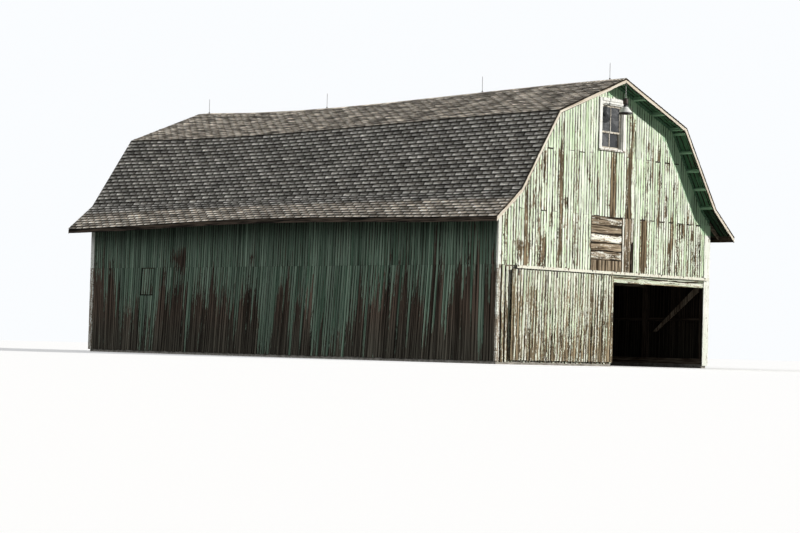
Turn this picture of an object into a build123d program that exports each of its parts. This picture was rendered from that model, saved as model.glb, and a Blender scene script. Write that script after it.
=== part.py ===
from build123d import *
import math
import os

# A timber barn with a gambrel roof that flares at the eaves.
# X runs across the gable, Y along the ridge, Z up. The front gable faces -Y.
# The origin is on the ground at the centre of the plan. All sizes are millimetres.

# Driving sizes of the walls
wall_width = 8500
wall_length = 15670
board_thickness = 25
belt_height = 2400
siding_bottom = 70
siding_seam = 1
joint_gap = 0.3
low_tier_height = 1390
middle_tier_height = 1590

# Driving sizes of the roof surface, at its outer face
eave_reach = 565
kick_inset = 285
break_inset = 1660
eave_over_belt = 1124
flare_rise = 703
lower_rise = 2043
upper_rise = 1030
gable_overhang = 430
ridge_sag = 145
break_sag_share = 0.7
eave_lift = 120

# Roof layers, measured square to the slope
shingle_thickness = 8
roof_board_thickness = 22
purlin_depth = 90
purlin_width = 60
purlin_margin = 110
upper_purlin_count = 4
lower_purlin_count = 5
rafter_depth = 140
rafter_thickness = 60
seat_play = 0.8
rafter_play = 1.5
eave_drip = 20
cap_wing = 150
cap_thickness = 7
rake_depth = 112
rake_thickness = 25
fascia_height = 105
fascia_thickness = 25
header_height = 90
header_thickness = 40
sprocket_nose = 85
sprocket_seat = 75

# Frame
frame_count = 9
post_width = 140
sill_height = 150
footing_height = 100
footing_width = 200
plate_depth = 90
girt_height = 90
girt_thickness = 60
middle_girt_height = 1250
loft_beam_depth = 200
loft_beam_width = 100
loft_board_thickness = 38
inner_post_count = 3
tie_drop = 850
tie_depth = 140
tie_thickness = 38
gusset_reach = 330
gusset_fall = 165
gusset_thickness = 22
brace_rise = 1200
brace_run = 1500
brace_thickness = 38
brace_width = 120
gable_stud = 90
rear_stud_middles = (-2400, -800, 800, 2400)
rear_bay_count = 3

# Doorway, sliding door and track
doorway_left = 170
doorway_margin = 230
header_board = 270
door_lap = 40
door_bottom = 100
door_gap_under_track = 30
door_board_thickness = 25
ledge_thickness = 22
ledge_width = 140
ledge_end = 60
door_standoff = 30
track_inset = 170
track_end = 145
track_height = 70
track_width = 56
track_wall = 3
track_slot = 20
track_over_belt = 5
bracket_width = 40
bracket_thickness = 5
bracket_count = 9
wheel_radius = 22
wheel_thickness = 10
wheel_play = 0.3
wheel_sides = 16
spacer_radius = 8
spacer_sides = 6
hanger_thickness = 6
hanger_width = 50
hanger_drop = 150
hanger_places = (240, 1680, 3410)
trolley_spread = 55
pull_height = 1250
pull_length = 220
pull_reach = 35
pull_bar = 14
pull_inset = 70

# Corner boards
corner_board_thickness = 20
corner_board_width = 110
side_board_width = 130
side_strip_width = 35
jamb_board_width = 250

# Gable window
window_half_width = 430
window_lift = 120
window_height = 1160
window_trim = 100
window_trim_thickness = 30
window_band = 60
window_cap = 80
cap_reach = 22
sill_reach = 25
sill_thickness = 38
window_jamb = 30
window_jamb_depth = 115
sash_setback = 50
sash_bar = 45
sash_thickness = 30
sash_play = 0.3
sash_parting = 3
meeting_rise = 445
glass_thickness = 4
muntin_width = 20

# Hay door, boarded up
hay_left = -740
hay_right = 990
hay_foot_rise = 290
hay_board_count = 5
hay_board_end = 500
hay_strip_end = 640
hay_bare_end = 870
hay_gap_rise = 780
hay_play = 3
hay_stud_lap = 40
hay_rail_drop = 270

# Hatch in the long left wall
hatch_frame_count = 8
hatch_setback = 320
hatch_width = 560
hatch_height = 780
hatch_play = 4
hatch_ledge_width = 90

# Lamp over the window
lamp_setback = 40
lamp_plate_radius = 30
lamp_plate_thickness = 10
lamp_tube_lap = 6
lamp_tube_radius = 11
lamp_drop = 388
lamp_socket_height = 180
lamp_socket_radius = 38
shade_drop = 180
shade_neck = 60
shade_brim = 22
shade_radius = 172
full_turn = 360
shade_wall = 3

# Lightning rods on the ridge, measured from the front wall and from the rear wall
front_rod_places = (110, 4470)
rear_rod_places = (5210, 70)
rod_height = 430
rod_radius = 6
rod_sides = 8
rod_tip_height = 35
rod_foot_radius = 20
rod_foot_height = 30
contact_play = 0.3

# Sizes that follow from those above
wall_x = wall_width / 2
wall_y = wall_length / 2
inner_x = wall_x - board_thickness
inner_y = wall_y - board_thickness
post_x = inner_x - post_width
tip_y = wall_y + gable_overhang
gable_seam_low = belt_height + low_tier_height
gable_seam_high = gable_seam_low + middle_tier_height
eave_half_width = wall_x + eave_reach
kick_half_width = wall_x - kick_inset
break_half_width = wall_x - break_inset
eave_height = belt_height + eave_over_belt
kick_height = eave_height + flare_rise
break_height = kick_height + lower_rise
ridge_height = break_height + upper_rise
board_depth = shingle_thickness
purlin_top = board_depth + roof_board_thickness
purlin_bottom = purlin_top + seat_play + purlin_depth
rafter_top = purlin_bottom + rafter_play
rafter_bottom = rafter_top + rafter_depth
sill_top = footing_height + sill_height
doorway_right = wall_x - doorway_margin
doorway_height = belt_height - header_board
door_width = doorway_right - doorway_left + 2 * door_lap
door_right = doorway_left - door_lap
door_left = door_right - door_width
track_left = door_left + track_inset
track_right = doorway_right + track_end
track_top = belt_height + track_over_belt
track_bottom = track_top - track_height
door_top = track_bottom - door_gap_under_track
ledge_y = -wall_y - door_standoff
door_back = ledge_y - ledge_thickness
door_face = door_back - door_board_thickness
track_y = (ledge_y + door_face) / 2
loft_beam_top = belt_height - loft_board_thickness
loft_beam_bottom = loft_beam_top - loft_beam_depth
window_sill = gable_seam_high + window_lift
window_head = window_sill + window_height
meeting_height = window_sill + meeting_rise
hay_foot = belt_height + hay_foot_rise
hay_gap_top = belt_height + hay_gap_rise
hatch_sill = belt_height - hatch_height


# The roof surface as three slopes between four named corners
corners = {
    "ridge": (0, ridge_height),
    "break": (break_half_width, break_height),
    "kick": (kick_half_width, kick_height),
    "eave": (eave_half_width, eave_height),
}
slopes = {"upper": ("ridge", "break"), "lower": ("break", "kick"), "flare": ("kick", "eave")}
sag_shares = {"ridge": 1, "break": break_sag_share, "kick": 0}


def slope_fall(slope):
    """How far the slope drops for each step outwards."""
    (x0, z0), (x1, z1) = corners[slopes[slope][0]], corners[slopes[slope][1]]
    return (z0 - z1) / (x1 - x0)


def slope_z(slope, x, depth):
    """Height of a slope at x, at a depth square to its outer face."""
    x0, z0 = corners[slopes[slope][0]]
    fall = slope_fall(slope)
    return z0 - fall * (x - x0) - depth * math.hypot(1, fall)


def corner(name, depth):
    """A roof corner at a depth, where the neighbouring slopes are mitred."""
    if name == "ridge":
        return 0, slope_z("upper", 0, depth)
    if name == "eave":
        return eave_half_width, slope_z("flare", eave_half_width, depth)
    above, below = ("upper", "lower") if name == "break" else ("lower", "flare")
    step = slope_z(above, 0, depth) - slope_z(below, 0, depth)
    x = step / (slope_fall(above) - slope_fall(below))
    return x, slope_z(above, x, depth)


# The frames stand at even spacing, with the end frames inside the gable boards
first_frame = -inner_y + rafter_thickness / 2
frame_spacing = -2 * first_frame / (frame_count - 1)
frames = [first_frame + frame_spacing * i for i in range(frame_count)]


# These make the curves t * t * (1 - t) and t * t * (1 - t) * (1 - t) reach 1 at their peaks
sag_curve_factor = 27 / 4
lift_curve_factor = 16


def frame_sag(t):
    """How far the ridge has settled: nothing at the gables, most near two thirds back."""
    return ridge_sag * sag_curve_factor * t * t * (1 - t)


def frame_lift(t):
    """How far the flared eave has risen where the roof has spread: most halfway."""
    return eave_lift * lift_curve_factor * t * t * (1 - t) * (1 - t)


def between_frames(curve, y):
    """A curve from the first frame to the last, run straight from each frame to the next."""
    place = min(max((y - frames[0]) / frame_spacing, 0), frame_count - 1)
    i = min(int(place), frame_count - 2)
    here, there = curve(i / (frame_count - 1)), curve((i + 1) / (frame_count - 1))
    return here + (there - here) * (place - i)


def sag(y):
    return between_frames(frame_sag, y)


def flare_z(x, depth, y):
    """Height of the flare at x, at a depth, with the rise of the eave at y."""
    kick_x = corner("kick", depth)[0]
    share = (x - kick_x) / (eave_half_width - kick_x)
    return slope_z("flare", x, depth) + share * between_frames(frame_lift, y)


def block(x0, x1, y0, y1, z0, z1):
    """A plain block between two opposite corners."""
    lows = [min(pair) for pair in ((x0, x1), (y0, y1), (z0, z1))]
    sizes = [abs(b - a) for a, b in ((x0, x1), (y0, y1), (z0, z1))]
    return Solid.make_box(*sizes).moved(Location(tuple(lows)))


def prism_y(points, y0, y1):
    """An outline in X and Z, drawn out along Y."""
    outline = Wire.make_polygon([Vector(x, y0, z) for x, z in points], close=True)
    return Solid.extrude(Face(outline), Vector(0, y1 - y0, 0))


def prism_x(points, x0, x1):
    """An outline in Y and Z, drawn out along X."""
    outline = Wire.make_polygon([Vector(x0, y, z) for y, z in points], close=True)
    return Solid.extrude(Face(outline), Vector(x1 - x0, 0, 0))


def mirrored(points, side):
    """Points of the right half, placed on the side asked for."""
    return [(side * x, z) for x, z in points]


# Below this a slab counts as flat and gets no fold
flat_twist = 1e-6


def folded_slab(near, far, y0, y1):
    """A slab between two four-point outlines. Its outer and inner faces fold on one diagonal.

    Each outline runs upper outer, lower outer, lower inner, upper inner.
    """
    a = [Vector(x, y0, z) for x, z in near]
    b = [Vector(x, y1, z) for x, z in far]
    twist = (a[0].Z + b[1].Z) - (a[1].Z + b[0].Z)
    faces = [a, b]
    for upper, lower in ((0, 1), (3, 2)):
        four = [a[upper], a[lower], b[lower], b[upper]]
        if abs(twist) < flat_twist:
            faces.append(four)
        elif twist > 0:
            faces += [[four[0], four[1], four[2]], [four[0], four[2], four[3]]]
        else:
            faces += [[four[0], four[1], four[3]], [four[1], four[2], four[3]]]
    faces += [[a[0], a[3], b[3], b[0]], [a[1], a[2], b[2], b[1]]]
    return Solid(Shell([Face(Wire.make_polygon(face, close=True)) for face in faces]))


def settled(name, depth, y):
    """A roof corner at a depth, lowered as the roof has settled there."""
    x, z = corner(name, depth)
    return x, z - sag_shares[name] * sag(y)


def eased(slope, point, way):
    """A point drawn back half a joint gap along its slope, down it for 1 and up it for -1."""
    fall = slope_fall(slope)
    step = way * joint_gap / 2 / math.hypot(1, fall)
    return point[0] + step, point[1] - step * fall


def slope_outline(slope, outer, inner, y):
    """The section of one layer of a slope at y, just clear of the slopes beside it."""
    top, low = slopes[slope]
    return [
        eased(slope, settled(top, outer, y), 1),
        eased(slope, settled(low, outer, y), -1),
        eased(slope, settled(low, inner, y), -1),
        eased(slope, settled(top, inner, y), 1),
    ]


def bay_ends():
    """The stretches of roof: the front overhang, each bay, the rear overhang."""
    lines = [-tip_y] + frames + [tip_y]
    return list(zip(lines[:-1], lines[1:]))


def slope_layer(slope, outer, inner):
    """One layer of a slope on both sides, bay by bay."""
    made = []
    for side in (-1, 1):
        for y0, y1 in bay_ends():
            near = mirrored(slope_outline(slope, outer, inner, y0), side)
            far = mirrored(slope_outline(slope, outer, inner, y1), side)
            made.append(folded_slab(near, far, y0 + siding_seam / 2, y1 - siding_seam / 2))
    return made


def flare_layer(outer, inner):
    """One layer of the flared eave on both sides, bay by bay, cut plumb at the eave."""
    made = []
    for y0, y1 in bay_ends():
        ends = []
        for y in (y0, y1):
            outline = [
                eased("flare", corner("kick", outer), 1),
                (eave_half_width, flare_z(eave_half_width, outer, y)),
                (eave_half_width, flare_z(eave_half_width, inner, y)),
                eased("flare", corner("kick", inner), 1),
            ]
            ends.append(outline)
        for side in (-1, 1):
            near, far = mirrored(ends[0], side), mirrored(ends[1], side)
            made.append(folded_slab(near, far, y0 + siding_seam / 2, y1 - siding_seam / 2))
    return made


def purlin_places(slope):
    """Distance down the slope and settling share of each purlin's middle."""
    count = upper_purlin_count if slope == "upper" else lower_purlin_count
    top, low = slopes[slope]
    (x0, z0), (x1, z1) = corner(top, purlin_top), corner(low, purlin_top)
    length = math.hypot(x1 - x0, z1 - z0)
    step = (length - 2 * purlin_margin) / (count - 1)
    runs = [purlin_margin + step * k for k in range(count)]
    shares = [sag_shares[top] + (sag_shares[low] - sag_shares[top]) * run / length for run in runs]
    return list(zip(runs, shares))


def slope_point(slope, run, depth):
    """The point at a run down the slope, measured on the underside of the roof boards."""
    x0, z0 = corner(slopes[slope][0], purlin_top)
    fall = slope_fall(slope)
    across, down = 1 / math.hypot(1, fall), fall / math.hypot(1, fall)
    sink = depth - purlin_top
    return x0 + across * run - down * sink, z0 - down * run - across * sink


def purlin_outline(slope, run, drop):
    """The square section of a purlin, lowered by drop."""
    ends = (run - purlin_width / 2, run + purlin_width / 2)
    upper = [slope_point(slope, end, purlin_top + seat_play) for end in ends]
    lower = [slope_point(slope, end, purlin_bottom) for end in reversed(ends)]
    return [(x, z - drop) for x, z in upper + lower]


def purlin_run(slope, y0, y1):
    """The purlins of a slope between two places along the roof."""
    made = []
    for run, share in purlin_places(slope):
        near = purlin_outline(slope, run, share * sag(y0))
        far = purlin_outline(slope, run, share * sag(y1))
        for side in (-1, 1):
            made.append(folded_slab(mirrored(near, side), mirrored(far, side), y0, y1))
    return made


# Footing and sills, with the front ones stopping at the doorway
def perimeter(width, z0, z1):
    """Lengths along the four walls, open at the doorway."""
    x = inner_x - width
    y = inner_y - width
    end = x - joint_gap
    return [
        block(-inner_x, -x, -inner_y, inner_y, z0, z1),
        block(x, inner_x, -inner_y, inner_y, z0, z1),
        block(-end, end, y, inner_y, z0, z1),
        block(-end, doorway_left, -inner_y, -y, z0, z1),
    ]


def make_footing():
    return perimeter(footing_width, 0, footing_height)


def make_sills():
    return perimeter(post_width, footing_height, sill_top)


def post_span(y):
    """The stretch of Y that a post takes at a frame. The corner posts stand against the gable boards."""
    low = min(max(y - post_width / 2, -inner_y), inner_y - post_width)
    return low, low + post_width


plate_top = slope_z("lower", post_x, rafter_bottom)
plate_bottom = plate_top - plate_depth


def make_posts():
    """Wall posts, and the two that frame the doorway and the door's parking wall."""
    made = []
    for side in (-1, 1):
        for y in frames:
            low, high = post_span(y)
            made.append(block(side * post_x, side * inner_x, low, high, sill_top, plate_bottom))
    low, high = post_span(frames[0])
    jamb_left = doorway_left - post_width
    middle = (jamb_left - post_x) / 2
    for x in (jamb_left, middle - post_width / 2):
        made.append(block(x, x + post_width, low, high, sill_top, loft_beam_bottom))
    low, high = post_span(frames[-1])
    for x in (-post_x / rear_bay_count, post_x / rear_bay_count):
        left = x - post_width / 2
        made.append(block(left, left + post_width, low, high, sill_top, loft_beam_bottom))
    return made


def make_wall_plates():
    return [
        block(side * post_x, side * inner_x, -inner_y, inner_y, plate_bottom, plate_top)
        for side in (-1, 1)
    ]


def girt_levels():
    """Lower faces of the rails that the side boards are nailed to."""
    return (middle_girt_height, belt_height - girt_height / 2, plate_bottom - girt_height)


def side_girts():
    """Rails between the posts of the side walls."""
    made = []
    for side in (-1, 1):
        for near, far in zip(frames[:-1], frames[1:]):
            y0, y1 = post_span(near)[1], post_span(far)[0]
            for z in girt_levels():
                x = side * (inner_x - girt_thickness)
                made.append(block(x, side * inner_x, y0, y1, z, z + girt_height))
    return made


def end_wall_spans(front):
    """Gaps between the posts of an end wall, below the loft beam."""
    if front:
        jamb_left = doorway_left - post_width
        middle = (jamb_left - post_x) / 2
        edges = [-post_x, middle - post_width / 2, middle + post_width / 2, jamb_left]
    else:
        third = post_x / rear_bay_count
        half = post_width / 2
        edges = [-post_x, -third - half, -third + half, third - half, third + half, post_x]
    return list(zip(edges[::2], edges[1::2]))


def end_girts():
    """Rails of the end walls below the loft, one between each pair of posts."""
    made = []
    for front in (True, False):
        y = -inner_y if front else inner_y - girt_thickness
        z = middle_girt_height
        for x0, x1 in end_wall_spans(front):
            made.append(block(x0, x1, y, y + girt_thickness, z, z + girt_height))
    return made


def make_wall_girts():
    return side_girts() + end_girts()


# Loft
def beam_span(y):
    """The stretch of Y that a loft beam takes at a frame."""
    low = min(max(y - loft_beam_width / 2, -inner_y), inner_y - loft_beam_width)
    return low, low + loft_beam_width


def make_loft_beams():
    return [
        block(-post_x, post_x, *beam_span(y), loft_beam_bottom, loft_beam_top) for y in frames
    ]


girder_x = doorway_left - post_width / 2


def make_inner_frame():
    """A girder down the middle of the barn, under the loft beams, on its own posts."""
    x0, x1 = girder_x - loft_beam_width / 2, girder_x + loft_beam_width / 2
    z = loft_beam_bottom - loft_beam_depth
    y0, y1 = post_span(frames[0])[1], inner_y - post_width
    made = [block(x0, x1, y0, y1, z, loft_beam_bottom)]
    for k in range(1, inner_post_count + 1):
        y = frames[k * (frame_count - 1) // (inner_post_count + 1)]
        made.append(block(x0, x1, y - post_width / 2, y + post_width / 2, 0, z - joint_gap))
    return made


def make_loft_floor():
    """Loft boards, one bay at a time, between the posts."""
    made = []
    lines = [-inner_y] + frames[1:-1] + [inner_y]
    for y0, y1 in zip(lines[:-1], lines[1:]):
        near, far = y0 + siding_seam / 2, y1 - siding_seam / 2
        made.append(block(-post_x, post_x, near, far, loft_beam_top, belt_height))
    return made


def make_corner_braces():
    """Slanting braces inside the side walls, against the inner faces of the posts."""
    made = []
    top = loft_beam_bottom - siding_seam
    for side in (-1, 1):
        for end in (-1, 1):
            y_top = end * post_span(frames[-1])[0] if end > 0 else post_span(frames[0])[1]
            y_low = y_top - end * brace_run
            z_low = top - brace_rise
            points = [
                (y_top, top),
                (y_top, top - brace_width),
                (y_low + end * brace_width, z_low),
                (y_low, z_low),
                (y_top - end * brace_width, top),
            ]
            x = side * post_x
            made.append(prism_x(points, x, x - side * brace_thickness))
    return made


# Rafters, ties and sprockets
def across(points, y, thickness):
    """The same outline on both sides of the roof, centred on y."""
    half = thickness / 2
    return [prism_y(mirrored(points, side), y - half, y + half) for side in (-1, 1)]


def make_rafters():
    """An upper and a lower one a side. The lower one is cut plumb at the wall and stands on its plate."""
    made = []
    for y in frames:
        made += across(slope_outline("upper", rafter_top, rafter_bottom, y), y, rafter_thickness)
        points = [
            eased("lower", settled("break", rafter_top, y), 1),
            (inner_x, slope_z("lower", inner_x, rafter_top)),
            (inner_x, plate_top),
            (post_x, plate_top),
            eased("lower", settled("break", rafter_bottom, y), 1),
        ]
        made += across(points, y, rafter_thickness)
    return made


def make_sprockets():
    """Wedges on the rafter feet that carry the flared eave."""
    nose_x = eave_half_width - eave_drip - fascia_thickness - header_thickness
    seat_x = inner_x - sprocket_seat
    made = []
    for y in frames:
        nose_top = flare_z(nose_x, purlin_top + seat_play, y)
        points = [
            corner("kick", purlin_top + seat_play),
            (nose_x, nose_top),
            (nose_x, nose_top - sprocket_nose),
            (wall_x, slope_z("flare", wall_x, purlin_bottom)),
            (inner_x, slope_z("flare", wall_x, purlin_bottom)),
            (seat_x, slope_z("lower", seat_x, rafter_top)),
            corner("kick", rafter_top),
        ]
        made += across(points, y, rafter_thickness)
    return made


def make_rafter_ties():
    """A tie beside each inner frame under the break, and plates over the rafter joints."""
    made = []
    half = rafter_thickness / 2
    for y in frames[1:-1]:
        top = break_height - tie_drop - sag_shares["break"] * sag(y)
        break_x, break_z = settled("break", rafter_top, y)
        low_fall = (break_z - slope_z("lower", inner_x, rafter_top)) / (inner_x - break_x)
        x_top = break_x + (break_z - top) / low_fall
        x_low = break_x + (break_z - top + tie_depth) / low_fall
        points = [(-x_top, top), (x_top, top), (x_low, top - tie_depth), (-x_low, top - tie_depth)]
        made.append(prism_y(points, y + half, y + half + tie_thickness))
    for y in frames[1:-1]:
        drop = sag_shares["break"] * sag(y)
        outer, inner = corner("break", rafter_top + seat_play), corner("break", rafter_bottom)
        up = (outer[0] - gusset_reach, slope_z("upper", outer[0] - gusset_reach, rafter_top + seat_play))
        down_x = outer[0] + gusset_fall
        down = (down_x, slope_z("lower", down_x, rafter_top + seat_play))
        points = [up, outer, down, inner]
        points = [(x, z - drop) for x, z in points]
        for side in (-1, 1):
            made.append(prism_y(mirrored(points, side), y - half - gusset_thickness, y - half))
    return made


# Roof covering
def bay_purlins(slope):
    """The purlins of a slope, each as long as a bay."""
    made = []
    for y0, y1 in zip(frames[:-1], frames[1:]):
        made += purlin_run(slope, y0 + siding_seam / 2, y1 - siding_seam / 2)
    return made


def make_upper_purlins():
    return bay_purlins("upper")


def make_lower_purlins():
    return bay_purlins("lower")


def make_lookouts():
    """The purlins run on past both gables and carry the rake boards."""
    inner = tip_y - rake_thickness
    seam = siding_seam / 2
    made = []
    for slope in ("upper", "lower"):
        made += purlin_run(slope, -inner, frames[0] - seam)
        made += purlin_run(slope, frames[-1] + seam, inner)
    return made


def make_roof_boards():
    made = slope_layer("upper", board_depth, purlin_top) + slope_layer("lower", board_depth, purlin_top)
    # The flare's boards stop short of the eave, on the same folds as the shingles over them
    for slab in flare_layer(board_depth, purlin_top):
        side = 1 if slab.center().X > 0 else -1
        x0, x1 = side * (eave_half_width - eave_drip), side * (eave_half_width + eave_drip)
        drip = block(x0, x1, -tip_y, tip_y, 0, kick_height)
        made += slab.cut(drip).solids()
    return made


def make_upper_shingles():
    return slope_layer("upper", 0, board_depth)


def make_lower_shingles():
    return slope_layer("lower", 0, board_depth)


def make_flare_shingles():
    return flare_layer(0, board_depth)


def make_ridge_cap():
    """A bent strip over the ridge, in the same lengths as the bays.

    Next to the ridge the shingles of a bay lie flat, at the slope of its more settled end,
    and the cap lies on that flat.
    """
    outer = -contact_play - cap_thickness
    wing_lift = (1 - break_sag_share) * cap_wing / break_half_width
    made = []
    for y0, y1 in bay_ends():
        lift = wing_lift * max(sag(y0), sag(y1))
        for side in (-1, 1):
            ends = []
            for y in (y0, y1):
                outline = [
                    (joint_gap / 2, slope_z("upper", 0, outer) - sag(y)),
                    (cap_wing, slope_z("upper", cap_wing, outer) - sag(y) + lift),
                    (cap_wing, slope_z("upper", cap_wing, -contact_play) - sag(y) + lift),
                    (joint_gap / 2, slope_z("upper", 0, -contact_play) - sag(y)),
                ]
                ends.append(mirrored(outline, side))
            made.append(folded_slab(ends[0], ends[1], y0 + siding_seam / 2, y1 - siding_seam / 2))
    return made


def make_rake_boards():
    """Boards on the ends of the lookouts, mitred at each corner of the roof."""
    depth = board_depth + rake_depth
    end_x = eave_half_width - eave_drip
    made = []
    for side in (-1, 1):
        for slope, (top, low) in slopes.items():
            low_outer = eased(slope, corner(low, purlin_top), -1)
            low_inner = eased(slope, corner(low, depth), -1)
            if slope == "flare":
                low_outer = (end_x, slope_z("flare", end_x, purlin_top))
                low_inner = (end_x, slope_z("flare", end_x, depth))
            top_outer = eased(slope, corner(top, purlin_top), 1)
            top_inner = eased(slope, corner(top, depth), 1)
            points = mirrored([top_outer, low_outer, low_inner, top_inner], side)
            made.append(prism_y(points, -tip_y, rake_thickness - tip_y))
            made.append(prism_y(points, tip_y - rake_thickness, tip_y))
    return made


def make_eave_fascias():
    """The fascia board and the header behind it, under the edge of the flared roof boards."""
    face = eave_half_width - eave_drip
    back = face - fascia_thickness
    rear = back - header_thickness
    lines = [rake_thickness - tip_y] + frames + [tip_y - rake_thickness]
    top = purlin_top + seat_play
    made = []
    for x0, x1, height in ((back, face, fascia_height), (rear, back - joint_gap, header_height)):
        for y0, y1 in zip(lines[:-1], lines[1:]):
            ends = []
            for y in (y0, y1):
                upper = [(x, flare_z(x, top, y)) for x in (x0, x1)]
                foot = flare_z(x1, top, y) - height
                ends.append(upper + [(x1, foot), (x0, foot)])
            for side in (-1, 1):
                near, far = mirrored(ends[0], side), mirrored(ends[1], side)
                made.append(folded_slab(near, far, y0 + siding_seam / 2, y1 - siding_seam / 2))
    return made


def frieze_outlines():
    """The blocks that close the gable between the lookouts, for the right half."""
    outlines = []
    top, low = purlin_top + seat_play, purlin_bottom
    for slope in ("upper", "lower"):
        first, last = slopes[slope]
        edge = [eased(slope, corner(first, depth), 1) for depth in (top, low)]
        for run, _ in purlin_places(slope):
            gap = purlin_width / 2 + siding_seam
            side_edge = [slope_point(slope, run - gap, depth) for depth in (low, top)]
            outlines.append(edge + side_edge)
            edge = [slope_point(slope, run + gap, top), slope_point(slope, run + gap, low)]
        outlines.append(edge + [eased(slope, corner(last, depth), -1) for depth in (low, top)])
    edge = [eased("flare", corner("kick", depth), 1) for depth in (top, low)]
    outlines.append(edge + [(wall_x, slope_z("flare", wall_x, depth)) for depth in (low, top)])
    return outlines


def make_friezes():
    """Blocks between the lookouts at both gables, and boards between the sprockets at both eaves."""
    made = []
    for side in (-1, 1):
        for outline in frieze_outlines():
            points = mirrored(outline, side)
            made.append(prism_y(points, -wall_y, -inner_y - siding_seam))
            made.append(prism_y(points, inner_y + siding_seam, wall_y))
        low = slope_z("flare", wall_x, purlin_bottom)
        half = rafter_thickness / 2
        for y0, y1 in zip(frames[:-1], frames[1:]):
            ends = []
            for y in (y0 + half, y1 - half):
                upper = [(x, flare_z(x, purlin_top + seat_play, y)) for x in (inner_x, wall_x)]
                ends.append(mirrored(upper + [(wall_x, low), (inner_x, low)], side))
            made.append(folded_slab(ends[0], ends[1], y0 + half, y1 - half))
    return made


# Walls
eave_wall_top = slope_z("flare", wall_x, purlin_bottom) - siding_seam


def side_boards(side, y0, y1, z0, z1):
    seam = siding_seam / 2
    return block(side * inner_x, side * wall_x, y0 + seam, y1 - seam, z0 + seam, z1 - seam)


def hatch_span():
    """The hatch lies just before one of the frames."""
    rear = frames[hatch_frame_count - 1] - hatch_setback
    return rear - hatch_width, rear


def make_left_wall():
    """Two tiers of boards. The lower one is open at the hatch."""
    front, rear = hatch_span()
    return [
        side_boards(-1, -inner_y, front, siding_bottom, belt_height),
        side_boards(-1, rear, inner_y, siding_bottom, belt_height),
        side_boards(-1, front, rear, siding_bottom, hatch_sill),
        side_boards(-1, -inner_y, inner_y, belt_height, eave_wall_top),
    ]


def make_right_wall():
    return [
        side_boards(1, -inner_y, inner_y, siding_bottom, belt_height),
        side_boards(1, -inner_y, inner_y, belt_height, eave_wall_top),
    ]


def make_side_hatch():
    """A boarded hatch panel with two ledges on its inner face."""
    front, rear = hatch_span()
    y0, y1 = front + hatch_play, rear - hatch_play
    z0, z1 = hatch_sill + hatch_play, belt_height - hatch_play
    made = [block(-inner_x, -wall_x, y0, y1, z0, z1)]
    front, back = inner_x - joint_gap, inner_x - ledge_thickness
    y0, y1 = y0 - hatch_ledge_width, y1 + hatch_ledge_width
    for z in (z0 + hatch_ledge_width, z1 - 2 * hatch_ledge_width):
        made.append(block(-back, -front, y0, y1, z, z + hatch_ledge_width))
    return made


def gable_outline():
    """The whole gable under the purlins, down to the belt."""
    right = [corner(name, purlin_bottom + siding_seam) for name in ("break", "kick")]
    right += [(wall_x, slope_z("flare", wall_x, purlin_bottom + siding_seam)), (wall_x, belt_height)]
    left = [(-x, z) for x, z in reversed(right)]
    return [corner("ridge", purlin_bottom + siding_seam)] + right + left


def gable_piece(front, x0, x1, z0, z1):
    """The part of the gable boards inside a window of X and Z."""
    near, far = (-wall_y, -inner_y) if front else (inner_y, wall_y)
    seam = siding_seam / 2
    whole = prism_y(gable_outline(), near, far)
    cut = whole.intersect(block(x0 + seam, x1 - seam, near, far, z0 + seam, z1 - seam))
    return cut.solids() if hasattr(cut, "solids") else cut


def make_front_gable():
    """Three tiers of boards, with the hay door and the window cut through."""
    low, high, top = gable_seam_low, gable_seam_high, ridge_height
    left, right = -window_half_width, window_half_width
    pieces = [
        (-wall_x, hay_left, belt_height, low),
        (hay_right, wall_x, belt_height, low),
        (-wall_x, wall_x, low, high),
        (-wall_x, left, high, top),
        (right, wall_x, high, top),
        (left, right, high, window_sill),
        (left, right, window_head, top),
    ]
    made = []
    for x0, x1, z0, z1 in pieces:
        made += gable_piece(True, x0, x1, z0, z1)
    return made


def make_rear_gable():
    made = []
    levels = (belt_height, gable_seam_low, gable_seam_high, ridge_height)
    for z0, z1 in zip(levels[:-1], levels[1:]):
        made += gable_piece(False, -wall_x, wall_x, z0, z1)
    return made


def make_front_wall():
    """The fixed boards left of the doorway, the header over it and the strip right of it."""
    top = belt_height - siding_seam / 2
    left, right = doorway_left + siding_seam, doorway_right - siding_seam
    return [
        block(-wall_x, doorway_left, -wall_y, -inner_y, siding_bottom, top),
        block(left, right, -wall_y, -inner_y, doorway_height, top),
        block(doorway_right, wall_x, -wall_y, -inner_y, siding_bottom, top),
    ]


def make_rear_wall():
    return [block(-wall_x, wall_x, inner_y, wall_y, siding_bottom, belt_height - siding_seam / 2)]


def make_corner_boards():
    """Two boards at each corner. One frames the doorway, and one on the left side is a mere strip."""
    t = corner_board_thickness
    top = slope_z("flare", wall_x + t, purlin_bottom) - siding_seam
    made = []
    for side in (-1, 1):
        for end in (-1, 1):
            wide = jamb_board_width if (side, end) == (1, -1) else corner_board_width
            x1 = wall_x + t
            near, far = end * wall_y, end * (wall_y + t)
            made.append(block(side * x1, side * (x1 - wide), near, far, siding_bottom, top))
            narrow = side_strip_width if (side, end) == (-1, -1) else side_board_width
            near, far = end * (wall_y - joint_gap), end * (wall_y - narrow)
            made.append(block(side * wall_x, side * x1, near, far, siding_bottom, top))
    return made


# Framing of the gables above the loft
def underside(x):
    """Height of the rafters' lower edge at x."""
    break_x = corner("break", rafter_bottom)[0]
    slope = "upper" if abs(x) < break_x else "lower"
    return slope_z(slope, abs(x), rafter_bottom)


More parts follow.
